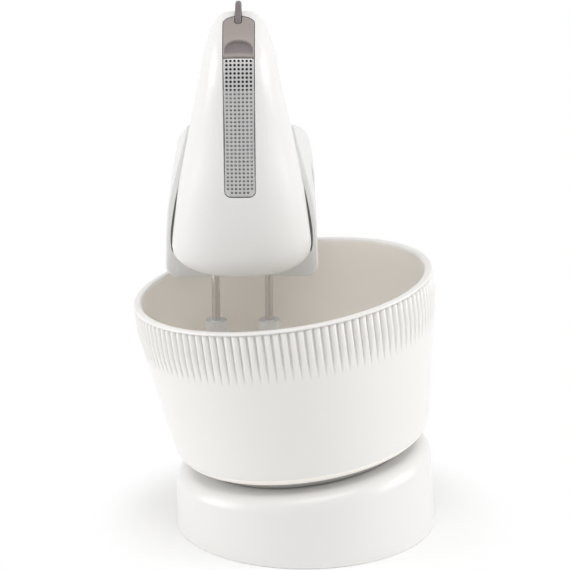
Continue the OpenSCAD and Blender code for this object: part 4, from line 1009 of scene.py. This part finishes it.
def whisk(side, x, turned):
    for i in range(3):
        bm = wire(whisk_low + 2.3 * i)
        spin = Matrix.Rotation(radians(turned + 60 * i), 3, "Z")
        bmesh.ops.rotate(bm, matrix=spin, verts=bm.verts)
        ready(bm, "whisk_wire_%s_%d" % (side, i), "whisk_" + side[0], "whisk_" + side, wire_steel,
              place=Matrix.Translation((x, 0, 0)))
    hub = [(0, 126)] + arc(5.6, 126.6, 0.6, -90, 0, 4)
    hub += arc(5.2, 136.7, 1.0, 0, 90, 5) + [(0, 137.7)]
    ready(spun(hub, 64), "whisk_hub_" + side, "whisk_" + side[0], "whisk_" + side, pale,
          place=Matrix.Translation((x, 0, 0)))


whisk("left", mixer_x - whisk_x, 0)
whisk("right", mixer_x + whisk_x, 30)

# %% [markdown]
# Rods, rings and screws keep their exact solids: they are already round and true. What a
# solid lacks is a soft edge, so the boxy pieces get theirs here: the copy of a node is
# merged, its flat faces are joined again, and a narrow bevel goes round its edges.

# %% Soft edges
def softened(name, body, width, segments=2, angle=30):
    """A copy of a node's solid with a narrow bevel on its edges, in the node's own finish."""
    bm = bmesh.new()
    bm.from_mesh(nodes[name].data)
    bmesh.ops.scale(bm, vec=(1000, 1000, 1000), verts=bm.verts)
    bmesh.ops.remove_doubles(bm, verts=bm.verts, dist=0.002)
    bmesh.ops.dissolve_limit(bm, angle_limit=radians(1), verts=bm.verts, edges=bm.edges)
    bmesh.ops.scale(bm, vec=(MM, MM, MM), verts=bm.verts)
    mesh = bpy.data.meshes.new(name + "_soft")
    bm.to_mesh(mesh)
    bm.free()
    mesh.polygons.foreach_set("use_smooth", [True] * len(mesh.polygons))
    mesh.set_sharp_from_angle(angle=radians(angle))
    piece = bpy.data.objects.new(name + "_soft", mesh)
    bpy.context.scene.collection.objects.link(piece)
    mesh.materials.append(finishes[slot_of[name]])
    edge = piece.modifiers.new("edge", "BEVEL")
    edge.width, edge.segments = width * MM, segments
    edge.limit_method, edge.angle_limit = "ANGLE", radians(angle)
    edge.use_clamp_overlap, edge.harden_normals = True, True
    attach(piece, body)
    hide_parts(name)


softened("column", "stand", 1.2)
softened("column_cover", "stand", 0.4)
softened("arm", "mixer", 0.8)
softened("tilt_button", "tilt_release", 0.5)
softened("mixer_catch", "catch", 0.4)

# %% [markdown]
# Floor and light. Near the object the floor is a plain surface that takes a soft shadow, and
# further out it fades into the white that the camera and reflections see all round. The lamps
# are large and far to both sides, with a third over the front, so the middle of a white round
# body turns a little grey between two bright flanks.

# %% Floor
p = Paint("floor_white")
light_path = p.tree.nodes.new("ShaderNodeLightPath")
seen = Flow(p, light_path.outputs["Is Camera Ray"]) + Flow(p, light_path.outputs["Is Glossy Ray"])
radius = p.node("ShaderNodeVectorMath", {"operation": "LENGTH"}, out=1, **{"0": p.place()})
far = p.smooth(radius, 0.096, 0.16)
p.finish(Base_Color=rgb(252, 252, 252), Roughness=0.9)
glow = p.node("ShaderNodeEmission", Color=(1, 1, 1, 1), Strength=1.0)
shaded = Flow(p, p.shader.outputs[0])
both = p.node("ShaderNodeMixShader", **{"0": seen * far, "1": shaded, "2": glow})
p.tree.links.new(both.out, p.tree.nodes["Material Output"].inputs["Surface"])
floor_bm = bmesh.new()
bmesh.ops.create_grid(floor_bm, x_segments=1, y_segments=1, size=6)
floor_mesh = bpy.data.meshes.new("floor")
floor_bm.to_mesh(floor_mesh)
floor_bm.free()
floor = bpy.data.objects.new("floor", floor_mesh)
bpy.context.scene.collection.objects.link(floor)
floor_mesh.materials.append(p.material)

# %% World
world = bpy.data.worlds.new("studio")
bpy.context.scene.world = world
world.use_nodes = True
tree = world.node_tree
sky = tree.nodes["Background"]
sky.inputs["Color"].default_value = (1, 1, 1, 1)
ray = tree.nodes.new("ShaderNodeLightPath")
pick = tree.nodes.new("ShaderNodeMix")
fill_light, seen_white = 0.54, 1.0
pick.inputs[2].default_value = fill_light
pick.inputs[3].default_value = seen_white
either = tree.nodes.new("ShaderNodeMath")
either.operation = "MAXIMUM"
tree.links.new(ray.outputs["Is Camera Ray"], either.inputs[0])
tree.links.new(ray.outputs["Is Glossy Ray"], either.inputs[1])
tree.links.new(either.outputs[0], pick.inputs[0])
tree.links.new(pick.outputs[0], sky.inputs["Strength"])

# %% Lamps
def lamp(name, where, aim, size, watts):
    light = bpy.data.lights.new(name, "AREA")
    light.shape, light.size, light.energy = "SQUARE", size, watts
    o = bpy.data.objects.new(name, light)
    o.location = where
    o.rotation_euler = (Vector(aim) - Vector(where)).to_track_quat("-Z", "Y").to_euler()
    bpy.context.scene.collection.objects.link(o)


middle = (0, 0, 0.2)
lamp("left_bank", (-1.85, -0.12, 0.6), middle, 1.3, 14)
lamp("right_bank", (1.85, -0.12, 0.6), middle, 1.3, 14)
lamp("top_bank", (0.1, -0.7, 2.0), middle, 1.3, 13)
bpy.context.scene.view_settings.view_transform = "Standard"
